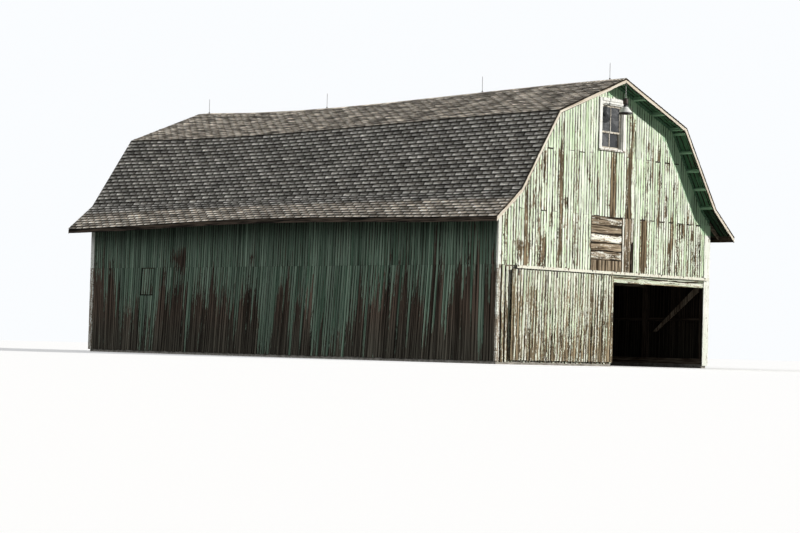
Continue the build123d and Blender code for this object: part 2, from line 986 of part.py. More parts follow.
def gable_stud_at(x, front):
    """A stud whose left face is at x, cut to the rafters above it."""
    near = -inner_y if front else inner_y - gable_stud
    x1 = x + gable_stud
    tops = [(x1, underside(x1) - seat_play), (x, underside(x) - seat_play)]
    if x < 0 < x1:
        tops.insert(1, (0, underside(0) - seat_play))
    points = [(x, loft_beam_top + loft_board_thickness), (x1, loft_beam_top + loft_board_thickness)] + tops
    return prism_y(points, near, near + gable_stud)


def stud_places(front):
    """Left faces of the gable studs."""
    if front:
        inner = [hay_left + hay_stud_lap - gable_stud, hay_right - hay_stud_lap]
        outer = [-break_half_width, break_half_width - gable_stud]
        return sorted(inner + outer)
    return [x - gable_stud / 2 for x in rear_stud_middles]


def make_gable_framing():
    """Studs and the rails between them, at the seams of the boards and behind the hay door."""
    made = []
    for front in (True, False):
        places = stud_places(front)
        for x in places:
            made.append(gable_stud_at(x, front))
        near = -inner_y if front else inner_y - gable_stud
        for seam in (gable_seam_low, gable_seam_high):
            for left, right in zip(places[:-1], places[1:]):
                x0, x1 = left + gable_stud, right
                z = seam - girt_height / 2
                if front and seam == gable_seam_low and x0 == hay_left + hay_stud_lap:
                    z = seam
                far = near + girt_thickness
                made.append(block(x0 + joint_gap, x1 - joint_gap, near, far, z, z + girt_height))
    x0, x1 = hay_left + hay_stud_lap + joint_gap, hay_right - hay_stud_lap - joint_gap
    for z in (hay_foot - girt_height / 2, gable_seam_low - hay_rail_drop):
        made.append(block(x0, x1, -inner_y, girt_thickness - inner_y, z, z + girt_height))
    return made


# Window, hay door, track and door, lamp and rods
def make_window_frame():
    """A jamb box through the boards, with trim, a sill and a capped head outside."""
    left, right = -window_half_width, window_half_width
    face = -wall_y
    back = face + window_jamb_depth
    front = face - window_trim_thickness
    gap = joint_gap
    inner_left, inner_right = left + window_jamb, right - window_jamb
    foot, head = window_sill + gap, window_head - gap
    made = [
        block(left + gap, inner_left, face, back, foot, head),
        block(inner_right, right - gap, face, back, foot, head),
    ]
    for z0, z1 in ((window_head - window_jamb, head), (foot, window_sill + window_jamb)):
        made.append(block(inner_left + gap, inner_right - gap, face, back, z0, z1))
    far_left, far_right = left - window_trim, right + window_trim
    trim_back = face - gap
    band_top = window_head + window_band
    trim_top = band_top + window_cap
    sill_foot = window_sill - sill_thickness
    made += [
        block(far_left, left, front, trim_back, foot, trim_top),
        block(right, far_right, front, trim_back, sill_foot, trim_top),
        block(left + gap, right - gap, front, trim_back, window_head, band_top),
        block(left + gap, right - gap, front - cap_reach, trim_back, band_top + gap, trim_top),
        block(far_left, right - gap, front - sill_reach, trim_back, sill_foot, window_sill),
    ]
    return made


def sash_outline(z0, z1, y):
    """One sash: four bars and an upright between two panes, as one solid."""
    x = window_half_width - window_jamb - sash_play
    whole = block(-x, x, y, y + sash_thickness, z0, z1)
    for side in (-1, 1):
        x0, x1 = side * muntin_width / 2, side * (x - sash_bar)
        hole = block(x0, x1, y, y + sash_thickness, z0 + sash_bar, z1 - sash_bar)
        whole = whole.cut(hole)
    return whole


def sash_levels():
    """Foot and head of the lower sash and of the upper one."""
    foot = window_sill + window_jamb + sash_play
    head = window_head - window_jamb - sash_play
    return (foot, meeting_height + sash_bar / 2), (meeting_height - sash_bar / 2, head)


def make_window_sashes():
    """The upper sash stands in front of the lower one."""
    lower, upper = sash_levels()
    y = -wall_y + sash_setback
    upper_sash = sash_outline(*upper, y)
    lower_sash = sash_outline(*lower, y + sash_thickness + sash_parting)
    return upper_sash.solids() + lower_sash.solids()


def make_window_glass():
    lower, upper = sash_levels()
    x = window_half_width - window_jamb - sash_play - sash_bar
    made = []
    for (z0, z1), row in ((upper, 0), (lower, 1)):
        y = -wall_y + sash_setback + row * (sash_thickness + sash_parting)
        y += (sash_thickness - glass_thickness) / 2
        z0, z1 = z0 + sash_bar, z1 - sash_bar
        for side in (-1, 1):
            made.append(block(side * muntin_width / 2, side * x, y, y + glass_thickness, z0, z1))
    return made


def make_hay_door_boards():
    """Boards nailed over the old hay door, with a slit left where one is missing."""
    y0, y1 = -wall_y, -inner_y
    top = gable_seam_low - hay_play
    foot = belt_height + hay_play
    left = hay_left + hay_play
    made = []
    step = (top - hay_foot) / hay_board_count
    for k in range(hay_board_count):
        z = hay_foot + step * k
        made.append(block(left, hay_board_end, y0, y1, z, z + step - hay_play))
    made.append(block(left, hay_board_end, y0, y1, foot, hay_foot - hay_play))
    strip_front = y0 - corner_board_thickness
    made.append(block(hay_board_end + hay_play, hay_strip_end, strip_front, y1, foot, top))
    made.append(block(hay_strip_end + hay_play, hay_bare_end, y0, y1, foot, top))
    made.append(block(hay_bare_end + hay_play, hay_right - hay_play, y0, y1, hay_gap_top, top))
    return made


def track_section():
    """A box section with a slot in its underside, drawn in Y and Z."""
    w, h, t = track_width / 2, track_height, track_wall
    outer = [(-w, 0), (-w, h), (w, h), (w, 0), (track_slot / 2, 0), (track_slot / 2, t)]
    inner = [(w - t, t), (w - t, h - t), (t - w, h - t), (t - w, t)]
    inner += [(-track_slot / 2, t), (-track_slot / 2, 0)]
    return [(track_y + y, track_bottom + z) for y, z in outer + inner]


def make_door_track():
    return [prism_x(track_section(), track_left, track_right)]


def bracket_places():
    """Middles of the brackets along the track."""
    span = doorway_right - track_left - 2 * bracket_width
    step = span / (bracket_count - 1)
    return [track_left + bracket_width + step * k for k in range(bracket_count)]


def make_track_brackets():
    """Straps over the track, turned up against the header board and bolted to it."""
    made = []
    t = bracket_thickness
    half = track_width / 2
    for x in bracket_places():
        x0, x1 = x - bracket_width / 2, x + bracket_width / 2
        outline = [
            (-wall_y, track_top + t + bracket_width),
            (-wall_y - t, track_top + t + bracket_width),
            (-wall_y - t, track_top + t),
            (track_y - half - t, track_top + t),
            (track_y - half - t, track_top - track_height / 2),
            (track_y - half, track_top - track_height / 2),
            (track_y - half, track_top),
            (-wall_y, track_top),
        ]
        made.append(prism_x(outline, x0, x1))
    return made


def make_door_boards():
    return [block(door_left, door_right, door_face, door_back, door_bottom, door_top)]


def make_door_ledges():
    """Three ledges across the back of the door and a brace between each pair."""
    x0, x1 = door_left + ledge_end, door_right - ledge_end
    low, high = door_bottom + ledge_end, door_top - ledge_end - ledge_width
    heights = [low, (low + high) / 2, high]
    made = [block(x0, x1, door_back, ledge_y, z, z + ledge_width) for z in heights]
    for low, high in zip(heights[:-1], heights[1:]):
        foot, head = low + ledge_width + joint_gap, high - joint_gap
        outline = [(x0, foot), (x0 + ledge_width, foot), (x1, head), (x1 - ledge_width, head)]
        brace = prism_y(outline, door_back, ledge_y)
        made.append(brace)
    return made


def trolley_places():
    """Middles of the three hangers, from the left edge of the door."""
    return [door_left + place for place in hanger_places]


def ring_points(radius, sides):
    """Corners of a regular outline that stands on a flat side."""
    turns = [math.radians(full_turn / sides) * (k + 1 / 2) for k in range(sides)]
    return [(radius * math.sin(turn), -radius * math.cos(turn)) for turn in turns]


def round_bar(radius, sides, x, z, y0, y1):
    """A bar along Y with many flat sides."""
    return prism_y([(x + dx, z + dz) for dx, dz in ring_points(radius, sides)], y0, y1)


def make_door_trolleys():
    """Each trolley has two pairs of wheels inside the track, and a strap that holds the door."""
    wheel_z = track_bottom + track_wall + wheel_radius + wheel_play
    made = []
    t = hanger_thickness / 2
    gap = track_slot / 2 - t
    for x in trolley_places():
        x0, x1 = x - trolley_spread, x + trolley_spread
        strap = block(x0, x1, track_y - t, track_y + t, door_top, wheel_z + 2 * spacer_radius)
        for place in (x - trolley_spread / 2, x + trolley_spread / 2):
            for side in (-1, 1):
                start = track_y + side * t
                inner_face, outer_face = start + side * gap, start + side * (gap + wheel_thickness)
                spacer = round_bar(spacer_radius, spacer_sides, place, wheel_z, start, inner_face)
                rim = round_bar(wheel_radius, wheel_sides, place, wheel_z, inner_face, outer_face)
                strap = strap.fuse(spacer).fuse(rim)
        x0, x1 = x - hanger_width / 2, x + hanger_width / 2
        front = door_face - hanger_thickness
        plate = block(x0, x1, front, door_face, door_top - hanger_drop, door_top)
        bridge = block(x0, x1, front, track_y + t, door_top, door_top + hanger_thickness)
        whole = strap.fuse(bridge).fuse(plate)
        made += whole.solids() if hasattr(whole, "solids") else [whole]
    return made


def make_door_pull():
    """A bent bar by the leading edge of the door."""
    x = door_right - pull_inset
    z0, z1 = pull_height - pull_length / 2, pull_height + pull_length / 2
    grip = block(x, x + pull_bar, door_face - pull_reach, door_face - pull_reach + pull_bar, z0, z1)
    for z in (z0, z1 - pull_bar):
        grip = grip.fuse(block(x, x + pull_bar, door_face - pull_reach, door_face, z, z + pull_bar))
    return grip.solids() if hasattr(grip, "solids") else [grip]


# The lamp hangs from the underside of the first lookout right of the ridge, behind the rake boards
lamp_x, lamp_top = slope_point("upper", purlin_margin, purlin_bottom)
lamp_y = rake_thickness + lamp_setback - tip_y
lamp_socket_top = lamp_top - lamp_drop
lamp_socket_bottom = lamp_socket_top - lamp_socket_height


def make_lamp_arm():
    """A plate on the sloping lookout, a tube that hangs from it and the lamp's socket."""
    fall = slope_fall("upper")
    down = (-fall / math.hypot(1, fall), 0, -1 / math.hypot(1, fall))
    top = (lamp_x + contact_play * down[0], lamp_y, lamp_top + contact_play * down[2])
    plate = Solid.make_cylinder(lamp_plate_radius, lamp_plate_thickness, Plane(origin=top, z_dir=down))
    tube_plane = Plane(origin=(lamp_x, lamp_y, lamp_socket_top - lamp_tube_lap))
    tube_length = lamp_drop - contact_play
    tube = Solid.make_cylinder(lamp_tube_radius, tube_length, tube_plane)
    socket_plane = Plane(origin=(lamp_x, lamp_y, lamp_socket_bottom))
    socket = Solid.make_cylinder(lamp_socket_radius, lamp_socket_height, socket_plane)
    whole = tube.fuse(plate).fuse(socket)
    return whole.solids() if hasattr(whole, "solids") else [whole]


def make_lamp_shade():
    """A round shade, open below: a neck round the socket, a cone and a short upright brim."""
    neck, brim, t = lamp_socket_radius + contact_play, shade_radius, shade_wall
    rim = lamp_socket_bottom - shade_drop
    top = lamp_socket_bottom + shade_neck
    outer = [(neck + t, top), (neck + t, lamp_socket_bottom), (brim, rim + shade_brim), (brim, rim)]
    inner = [(brim - t, rim), (brim - t, rim + shade_brim - t), (neck, lamp_socket_bottom - t), (neck, top)]
    section = Face(Wire.make_polygon([Vector(x, 0, z) for x, z in outer + inner], close=True))
    shade = Solid.revolve(section, full_turn, Axis.Z)
    return [shade.moved(Location((lamp_x, lamp_y, 0)))]


def cap_top(y):
    """Height of the ridge cap's edge at y."""
    return slope_z("upper", 0, -contact_play - cap_thickness) - sag(y)


def upright_bar(y, levels):
    """An upright bar with many flat sides over the ridge, with a radius at each of its levels."""
    rings = []
    for radius, z in levels:
        rings.append([Vector(dx, y + dy, z) for dx, dy in ring_points(radius, rod_sides)])
    faces = [rings[0], rings[-1]]
    for low, high in zip(rings[:-1], rings[1:]):
        for k in range(rod_sides):
            faces.append([low[k - 1], low[k], high[k], high[k - 1]])
    return Solid(Shell([Face(Wire.make_polygon(face, close=True)) for face in faces]))


def make_lightning_rods():
    """Thin rods with a pointed tip, each on a thicker foot over the ridge cap."""
    made = []
    places = [place - wall_y for place in front_rod_places] + [wall_y - place for place in rear_rod_places]
    for y in places:
        foot_z = max(cap_top(y - rod_foot_radius), cap_top(y + rod_foot_radius)) + contact_play
        tip_z = foot_z + rod_height - rod_tip_height
        foot_top, top_z = foot_z + rod_foot_height, foot_z + rod_height
        foot = upright_bar(y, [(rod_foot_radius, foot_z), (rod_foot_radius, foot_top)])
        rod = upright_bar(y, [(rod_radius, foot_top), (rod_radius, tip_z), (rod_radius / 4, top_z)])
        whole = foot.fuse(rod)
        made += whole.solids() if hasattr(whole, "solids") else [whole]
    return made


pieces = {
    "footing": make_footing,
    "sills": make_sills,
    "posts": make_posts,
    "wall_plates": make_wall_plates,
    "wall_girts": make_wall_girts,
    "inner_frame": make_inner_frame,
    "loft_beams": make_loft_beams,
    "loft_floor": make_loft_floor,
    "corner_braces": make_corner_braces,
    "gable_framing": make_gable_framing,
    "rafters": make_rafters,
    "rafter_ties": make_rafter_ties,
    "sprockets": make_sprockets,
    "upper_purlins": make_upper_purlins,
    "lower_purlins": make_lower_purlins,
    "lookouts": make_lookouts,
    "roof_boards": make_roof_boards,
    "upper_shingles": make_upper_shingles,
    "lower_shingles": make_lower_shingles,
    "flare_shingles": make_flare_shingles,
    "ridge_cap": make_ridge_cap,
    "rake_boards": make_rake_boards,
    "eave_fascias": make_eave_fascias,
    "friezes": make_friezes,
    "left_wall": make_left_wall,
    "right_wall": make_right_wall,
    "side_hatch": make_side_hatch,
    "front_wall": make_front_wall,
    "front_gable": make_front_gable,
    "rear_wall": make_rear_wall,
    "rear_gable": make_rear_gable,
    "corner_boards": make_corner_boards,
    "window_frame": make_window_frame,
    "window_sashes": make_window_sashes,
    "window_glass": make_window_glass,
    "hay_door_boards": make_hay_door_boards,
    "door_track": make_door_track,
    "track_brackets": make_track_brackets,
    "lamp_arm": make_lamp_arm,
    "lamp_shade": make_lamp_shade,
    "lightning_rods": make_lightning_rods,
    "door_boards": make_door_boards,
    "door_ledges": make_door_ledges,
    "door_trolleys": make_door_trolleys,
    "door_pull": make_door_pull,
}

os.makedirs("parts", exist_ok=True)
for name, make in pieces.items():
    solids = make()
    shape = solids[0] if len(solids) == 1 else Compound(children=solids)
    export_step(shape, f"parts/{name}.step")
    print(name, len(solids), "solids")
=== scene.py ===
import bisect
import math
import random

import bpy
from mathutils import Matrix, Vector


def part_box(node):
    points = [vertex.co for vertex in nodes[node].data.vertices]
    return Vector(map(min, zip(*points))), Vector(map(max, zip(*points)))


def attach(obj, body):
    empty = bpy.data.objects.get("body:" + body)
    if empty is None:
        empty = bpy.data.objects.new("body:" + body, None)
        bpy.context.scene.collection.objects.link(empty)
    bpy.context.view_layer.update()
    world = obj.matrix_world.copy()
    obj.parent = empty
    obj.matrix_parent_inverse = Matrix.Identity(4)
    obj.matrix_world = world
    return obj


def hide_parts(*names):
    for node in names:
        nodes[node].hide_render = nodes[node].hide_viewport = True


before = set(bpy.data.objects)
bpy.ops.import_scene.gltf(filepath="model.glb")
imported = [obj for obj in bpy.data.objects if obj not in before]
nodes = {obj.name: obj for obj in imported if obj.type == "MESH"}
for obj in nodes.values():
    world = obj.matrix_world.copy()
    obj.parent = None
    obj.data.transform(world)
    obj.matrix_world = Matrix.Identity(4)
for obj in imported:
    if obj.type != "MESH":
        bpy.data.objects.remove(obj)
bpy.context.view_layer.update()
SEED = 4
rng = random.Random(SEED)

# Sizes of the building in metres, the same as the frame's
BOARD_THICKNESS = 0.025
WALL_X = -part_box("left_wall")[0].x
WALL_Y = -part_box("front_gable")[0].y
INNER_Y = WALL_Y - BOARD_THICKNESS
SIDING_FOOT = 0.07
BELT = 2.40
LOW_SEAM = 3.79
HIGH_SEAM = 5.38
CORNERS = {"ridge": (0.0, 7.300), "break": (2.590, 6.270), "kick": (3.965, 4.227), "eave": (4.815, 3.524)}
SLOPES = {"upper": ("ridge", "break"), "lower": ("break", "kick"), "flare": ("kick", "eave")}
SAG_SHARE = {"ridge": 1.0, "break": 0.7, "kick": 0.0, "eave": 0.0}
RIDGE_SAG = 0.145
EAVE_LIFT = 0.120
FRAME_COUNT = 9
RAFTER_THICKNESS = 0.060
FIRST_FRAME = RAFTER_THICKNESS / 2 - INNER_Y
OVERHANG_END = WALL_Y + 0.43
EAVE_DRIP = 0.020
SHINGLE_DEPTH = 0.008
ROOF_BOARD_DEPTH = 0.030
PURLIN_BOTTOM = 0.1208
DOOR_LOW, DOOR_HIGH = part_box("door_boards")
DOORWAY_LEFT, DOORWAY_RIGHT, DOORWAY_TOP = 0.170, 4.020, 2.130
WINDOW_HALF, WINDOW_SILL, WINDOW_HEAD = 0.430, 5.500, 6.660
HAY_LEFT, HAY_RIGHT = -0.740, 0.990
HATCH_LEDGE = 0.09
HATCH_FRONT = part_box("side_hatch")[0].y + HATCH_LEDGE
HATCH_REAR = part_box("side_hatch")[1].y - HATCH_LEDGE
HATCH_SILL = 1.620


# Node trees
class Tree:
    """A node tree that is written from values and sockets."""

    def __init__(self, tree):
        self.tree = tree

    def add(self, kind, inputs=None, **settings):
        node = self.tree.nodes.new("ShaderNode" + kind)
        for name, value in settings.items():
            setattr(node, name, value)
        for name, value in (inputs or {}).items():
            self.plug(node.inputs[name], value)
        return node

    def plug(self, socket, value):
        if isinstance(value, bpy.types.NodeSocket):
            self.tree.links.new(value, socket)
        elif isinstance(value, tuple) and len(value) == 3 and socket.type == "RGBA":
            socket.default_value = (*value, 1.0)
        else:
            socket.default_value = value

    def math(self, operation, a, b=0.0):
        return self.add("Math", {0: a, 1: b}, operation=operation).outputs[0]

    def plus(self, a, b):
        return self.math("ADD", a, b)

    def minus(self, a, b):
        return self.math("SUBTRACT", a, b)

    def times(self, a, b):
        return self.math("MULTIPLY", a, b)

    def apart(self, a, b):
        return self.math("ABSOLUTE", self.minus(a, b))

    def lerp(self, factor, a, b):
        return self.add("Mix", {0: factor, 2: a, 3: b}, data_type="FLOAT").outputs[0]

    def step(self, value, low, high):
        """0 below low, 1 above high, smooth between."""
        inputs = {"Value": value, "From Min": low, "From Max": high}
        return self.add("MapRange", inputs, interpolation_type="SMOOTHSTEP").outputs[0]

    def blend(self, factor, a, b, how="MIX"):
        return self.add("Mix", {0: factor, 6: a, 7: b}, data_type="RGBA", blend_type=how).outputs[2]

    def cover(self, color, other, mask, amount):
        """A colour with another one over it, where the mask says and as much as the amount."""
        return self.blend(self.times(mask, amount), color, other)

    def toned(self, color, tone):
        """A colour times a number."""
        return self.blend(1.0, color, self.vector(tone, tone, tone), "MULTIPLY")

    def vector(self, x, y, z):
        return self.add("CombineXYZ", {0: x, 1: y, 2: z}).outputs[0]

    def split(self, vector):
        return self.add("SeparateXYZ", {0: vector}).outputs

    def stretch(self, vector, scale):
        return self.add("VectorMath", {0: vector, 1: scale}, operation="MULTIPLY").outputs[0]

    def noise(self, vector, scale, detail=3.0, roughness=0.55):
        """Noise over a vector. scale is one number, or one for each axis."""
        if isinstance(scale, tuple):
            vector, scale = self.stretch(vector, scale), 1.0
        inputs = {"Vector": vector, "Scale": scale, "Detail": detail, "Roughness": roughness}
        return self.add("TexNoise", inputs).outputs["Fac"]

    def own_place(self):
        return self.add("TexCoord").outputs["Object"]

    def board_places(self):
        """The place on a board or shingle and its state, which everything laid carries."""
        return [self.add("Attribute", attribute_name=name).outputs["Vector"] for name in ("place", "state")]

    def use(self, group, inputs):
        """Put a group into the tree and return its outputs."""
        node = self.tree.nodes.new("ShaderNodeGroup")
        node.node_tree = group
        for name, value in inputs.items():
            self.plug(node.inputs[name], value)
        return node.outputs


COLOR, NUMBER, VECTOR = "NodeSocketColor", "NodeSocketFloat", "NodeSocketVector"


def node_group(name, inputs, outputs, draw):
    """A shader group with named sockets. draw gets the tree and the input sockets and returns the outputs."""
    group = bpy.data.node_groups.new(name, "ShaderNodeTree")
    for sockets, way in ((inputs, "INPUT"), (outputs, "OUTPUT")):
        for label, kind in sockets.items():
            group.interface.new_socket(label, in_out=way, socket_type=kind)
    source = group.nodes.new("NodeGroupInput")
    result = draw(Tree(group), {label: source.outputs[label] for label in inputs})
    sink = group.nodes.new("NodeGroupOutput")
    for label in outputs:
        group.links.new(result[label], sink.inputs[label])
    return group


CRACK_DARK = (0.030, 0.022, 0.016)
SEAM_DARK = (0.022, 0.018, 0.013)
# Colour of the painted shadow on shingles
PAINTED_SHADOW_DARK = (0.02, 0.018, 0.016)
RUST_DARK = (0.075, 0.028, 0.012)
RUST_LIGHT = (0.24, 0.095, 0.035)


def draw_grain(t, s):
    """Long fibres with a few cracks. Y runs along the grain."""
    place = s["Place"]
    fibres = t.noise(place, (70.0, 2.2, 70.0), 4.0, 0.6)
    broad = t.noise(place, (27.0, 0.9, 27.0), 3.0, 0.6)
    cracks = t.step(t.noise(place, (150.0, 3.0, 150.0), 2.0, 0.7), 0.66, 0.74)
    shade = t.plus(t.times(fibres, 0.4), t.times(broad, 0.6))
    color = t.blend(t.step(shade, 0.42, 0.58), s["Dark"], s["Light"])
    color = t.cover(color, CRACK_DARK, cracks, 0.75)
    return {"Color": color, "Height": t.minus(fibres, cracks)}


grain_group = node_group(
    "long grain", {"Place": VECTOR, "Light": COLOR, "Dark": COLOR}, {"Color": COLOR, "Height": NUMBER},
    draw_grain)


def draw_worn_paint(t, s):
    """Paint that flakes off boards in long streaks. State carries bareness, tone and place across.

    Bareness under 0 takes another colour: paint that the sun never faded, and on the gable the painted shade
    of the right eave.
    """
    place = s["Place"]
    bare, tone, across = t.split(s["State"])
    wood = t.use(grain_group, {"Place": place, "Light": s["Wood light"], "Dark": s["Wood dark"]})

    # Flakes, slivers and chips, more of them beside the seams
    flakes = t.noise(place, (24.0, 2.5, 1.0), 4.0, 0.62)
    slivers = t.noise(place, (75.0, 7.5, 1.0), 3.0, 0.6)
    chips = t.noise(place, (40.0, 22.0, 1.0), 3.0, 0.6)
    cover = t.plus(t.times(flakes, 0.47), t.times(slivers, 0.26))
    cover = t.plus(cover, t.times(chips, 0.27))
    edge = t.apart(across, 0.5)
    seam_wear = t.step(t.noise(place, (7.0, 1.6, 1.0), 4.0, 0.6), 0.40, 0.60)
    seam_wear = t.times(t.step(edge, 0.22, 0.5), t.times(seam_wear, 0.25))
    over = t.minus(t.plus(t.lerp(bare, 0.28, 0.72), seam_wear), cover)
    gone = t.step(over, -0.012, 0.022)
    rim = t.step(over, -0.075, -0.005)

    # The coat, chalky in streaks and grimy in others, with a painted highlight along one side of the bead
    chalk = t.step(t.noise(place, (26.0, 0.9, 1.0), 3.0, 0.6), 0.44, 0.60)
    bead_highlight = t.step(t.apart(across, 0.74), 0.20, 0.08)
    broken = t.step(t.noise(place, (2.0, 0.8, 5.0), 3.0, 0.6), 0.42, 0.54)
    chalk = t.math("MAXIMUM", chalk, t.times(bead_highlight, broken))
    coat = t.cover(s["Paint"], s["Chalk"], chalk, 0.9)
    coat = t.cover(coat, s["Chalk"], rim, 0.35)
    weather = t.step(t.noise(place, (45.0, 1.3, 2.0), 4.0, 0.65), 0.52, 0.66)
    coat = t.cover(coat, s["Grime"], weather, 0.75)
    # Where bareness is under 0 a deeper colour comes in: paint that never faded, and the painted shade of the
    # eave
    coat = t.cover(coat, s["Fresh"], t.step(bare, 0.0, -0.3), 0.92)
    color = t.blend(gone, coat, wood["Color"])

    # Seams that stand open along part of a board
    width = t.lerp(t.step(t.noise(place, (3.0, 1.1, 3.0), 4.0, 0.62), 0.46, 0.56), 0.13, 0.0)
    seam = t.step(t.minus(edge, width), 0.30, 0.36)
    seam = t.times(seam, t.step(t.noise(place, (2.0, 0.5, 9.0)), 0.34, 0.48))
    color = t.cover(color, SEAM_DARK, seam, 0.92)

    height = t.plus(t.times(t.minus(1.0, gone), 0.8), t.times(wood["Height"], 0.35))
    return {"Color": t.toned(color, tone), "Roughness": t.lerp(gone, 0.62, 0.86), "Height": height}


worn_paint_group = node_group(
    "worn paint",
    {"Place": VECTOR, "State": VECTOR, "Paint": COLOR, "Chalk": COLOR, "Grime": COLOR, "Fresh": COLOR,
     "Wood light": COLOR, "Wood dark": COLOR},
    {"Color": COLOR, "Roughness": NUMBER, "Height": NUMBER},
    draw_worn_paint)


def draw_grit(t, s):
    """Mineral grit on shingles, worn pale along the lower edge of each tab, which is also a painted
    highlight, with painted shadow under the next butt and beside the slot, and painted shade of curled tabs
    in waves.

    State carries the place up the tab, its tone and the place across it.
    """
    place = s["Place"]
    along, tone, across = t.split(s["State"])
    speck = t.noise(place, 420.0, 2.0, 0.7)
    patch = t.noise(place, (0.5, 0.5, 0.5), 4.0, 0.6)
    mottle = t.noise(place, (14.0, 30.0, 3.0), 3.0, 0.6)
    color = t.blend(t.step(speck, 0.38, 0.62), s["Dark"], s["Light"])
    color = t.cover(color, s["Stain"], t.step(patch, 0.42, 0.62), 0.45)
    # The lower edge of each tab is painted pale, as worn grit and as a highlight on the curled edge
    near_end = t.times(t.minus(1.0, across), 0.42)
    reach = t.plus(t.plus(along, near_end), t.times(mottle, 0.9))
    color = t.cover(color, s["Bare edge"], t.step(reach, 0.94, 0.74), s["Wear"])
    # Painted shadow under the butt of the next course and beside the slot
    butt_shadow = t.step(t.plus(along, t.times(mottle, 0.3)), 0.58, 0.80)
    color = t.cover(color, PAINTED_SHADOW_DARK, butt_shadow, 0.90)
    color = t.cover(color, PAINTED_SHADOW_DARK, t.step(across, 0.22, 0.04), 0.55)
    # Painted shade and light of curled tabs, in waves along the courses
    curl_shade = t.step(t.noise(place, (1.5, 5.5, 0.0), 4.0, 0.65), 0.38, 0.62)
    curl_shade = t.lerp(s["Uneven"], 1.0, t.lerp(curl_shade, 0.34, 1.64))
    return {"Color": t.toned(color, t.times(tone, curl_shade)), "Height": t.plus(speck, t.times(mottle, 2.0))}


grit_group = node_group(
    "shingle grit",
    {"Place": VECTOR, "State": VECTOR, "Wear": NUMBER, "Uneven": NUMBER, "Light": COLOR, "Dark": COLOR,
     "Stain": COLOR, "Bare edge": COLOR},
    {"Color": COLOR, "Height": NUMBER},
    draw_grit)


def draw_rust(t, s):
    """Rust that starts in spots and runs down."""
    place = s["Place"]
    spots = t.noise(place, 14.0, 5.0, 0.65)
    runs = t.noise(place, (30.0, 30.0, 3.0), 3.0, 0.6)
    low = t.minus(0.75, t.times(s["Amount"], 0.5))
    mask = t.step(t.plus(t.times(spots, 0.6), t.times(runs, 0.4)), low, t.plus(low, 0.1))
    rust = t.blend(t.noise(place, 60.0), RUST_DARK, RUST_LIGHT)
    return {"Color": t.blend(mask, s["Base"], rust), "Mask": mask}


rust_group = node_group(
    "rust", {"Place": VECTOR, "Base": COLOR, "Amount": NUMBER}, {"Color": COLOR, "Mask": NUMBER}, draw_rust)


# Materials. A relief is a strength and a depth
BOARD_RELIEF, TRIM_RELIEF, SHINGLE_RELIEF = (0.5, 0.004), (0.4, 0.003), (0.5, 0.003)
RUST_RELIEF, STONE_RELIEF = (0.3, 0.001), (0.6, 0.01)
WOOD_GLOSS, SHINGLE_GLOSS = 0.08, 0.05
PAINTED_EAVE_SHADE = (0.012, 0.016, 0.010)


class Surface(Tree):
    """A new material and its tree."""

    def __init__(self, name):
        self.material = bpy.data.materials.new(name)
        self.material.use_nodes = True
        super().__init__(self.material.node_tree)

    def set(self, name, value):
        self.plug(self.tree.nodes["Principled BSDF"].inputs[name], value)

    def finish(self, color, roughness, height, relief, gloss=None):
        """Set colour, roughness and relief. gloss is the specular level, if not the usual one."""
        self.set("Base Color", color)
        self.set("Roughness", roughness)
        if gloss is not None:
            self.set("Specular IOR Level", gloss)
        strength, depth = relief
        bump = self.add("Bump", {"Height": height, "Strength": strength, "Distance": depth})
        self.set("Normal", bump.outputs["Normal"])
        return self.material


def painted_boards(name, paint, chalk, grime, wood, streak=1.0, foot_wood=None, shaded=None, unfaded_and_shaded=None):
    """Worn paint on laid boards. wood gives the light and the dark colour of the wood under it.

    streak under 1 draws the flakes out. foot_wood is the light wood near the ground. shaded gives two heights
    and how much painted shade under the eave darkens the boards from one to the other. The last argument is
    the colour for bareness under 0: paint that never faded, and on the gable the painted shade of the right
    eave.
    """
    tree = Surface(name)
    place, state = tree.board_places()
    _, up, _ = tree.split(place)
    wood_light, wood_dark = wood
    if foot_wood:
        wood_light = tree.blend(tree.step(up, 1.5, 0.3), wood_light, foot_wood)
    coat = tree.use(worn_paint_group, {
        "Place": tree.stretch(place, (1.0, streak, 1.0)), "State": state, "Paint": paint, "Chalk": chalk,
        "Grime": grime, "Fresh": unfaded_and_shaded or paint, "Wood light": wood_light, "Wood dark": wood_dark})
    color = coat["Color"]
    # Painted shade under the eave: the boards darken towards the top
    if shaded:
        low, high, amount = shaded
        color = tree.cover(color, PAINTED_EAVE_SHADE, tree.step(up, low, high), amount)
    return tree.finish(color, coat["Roughness"], coat["Height"], BOARD_RELIEF, WOOD_GLOSS)


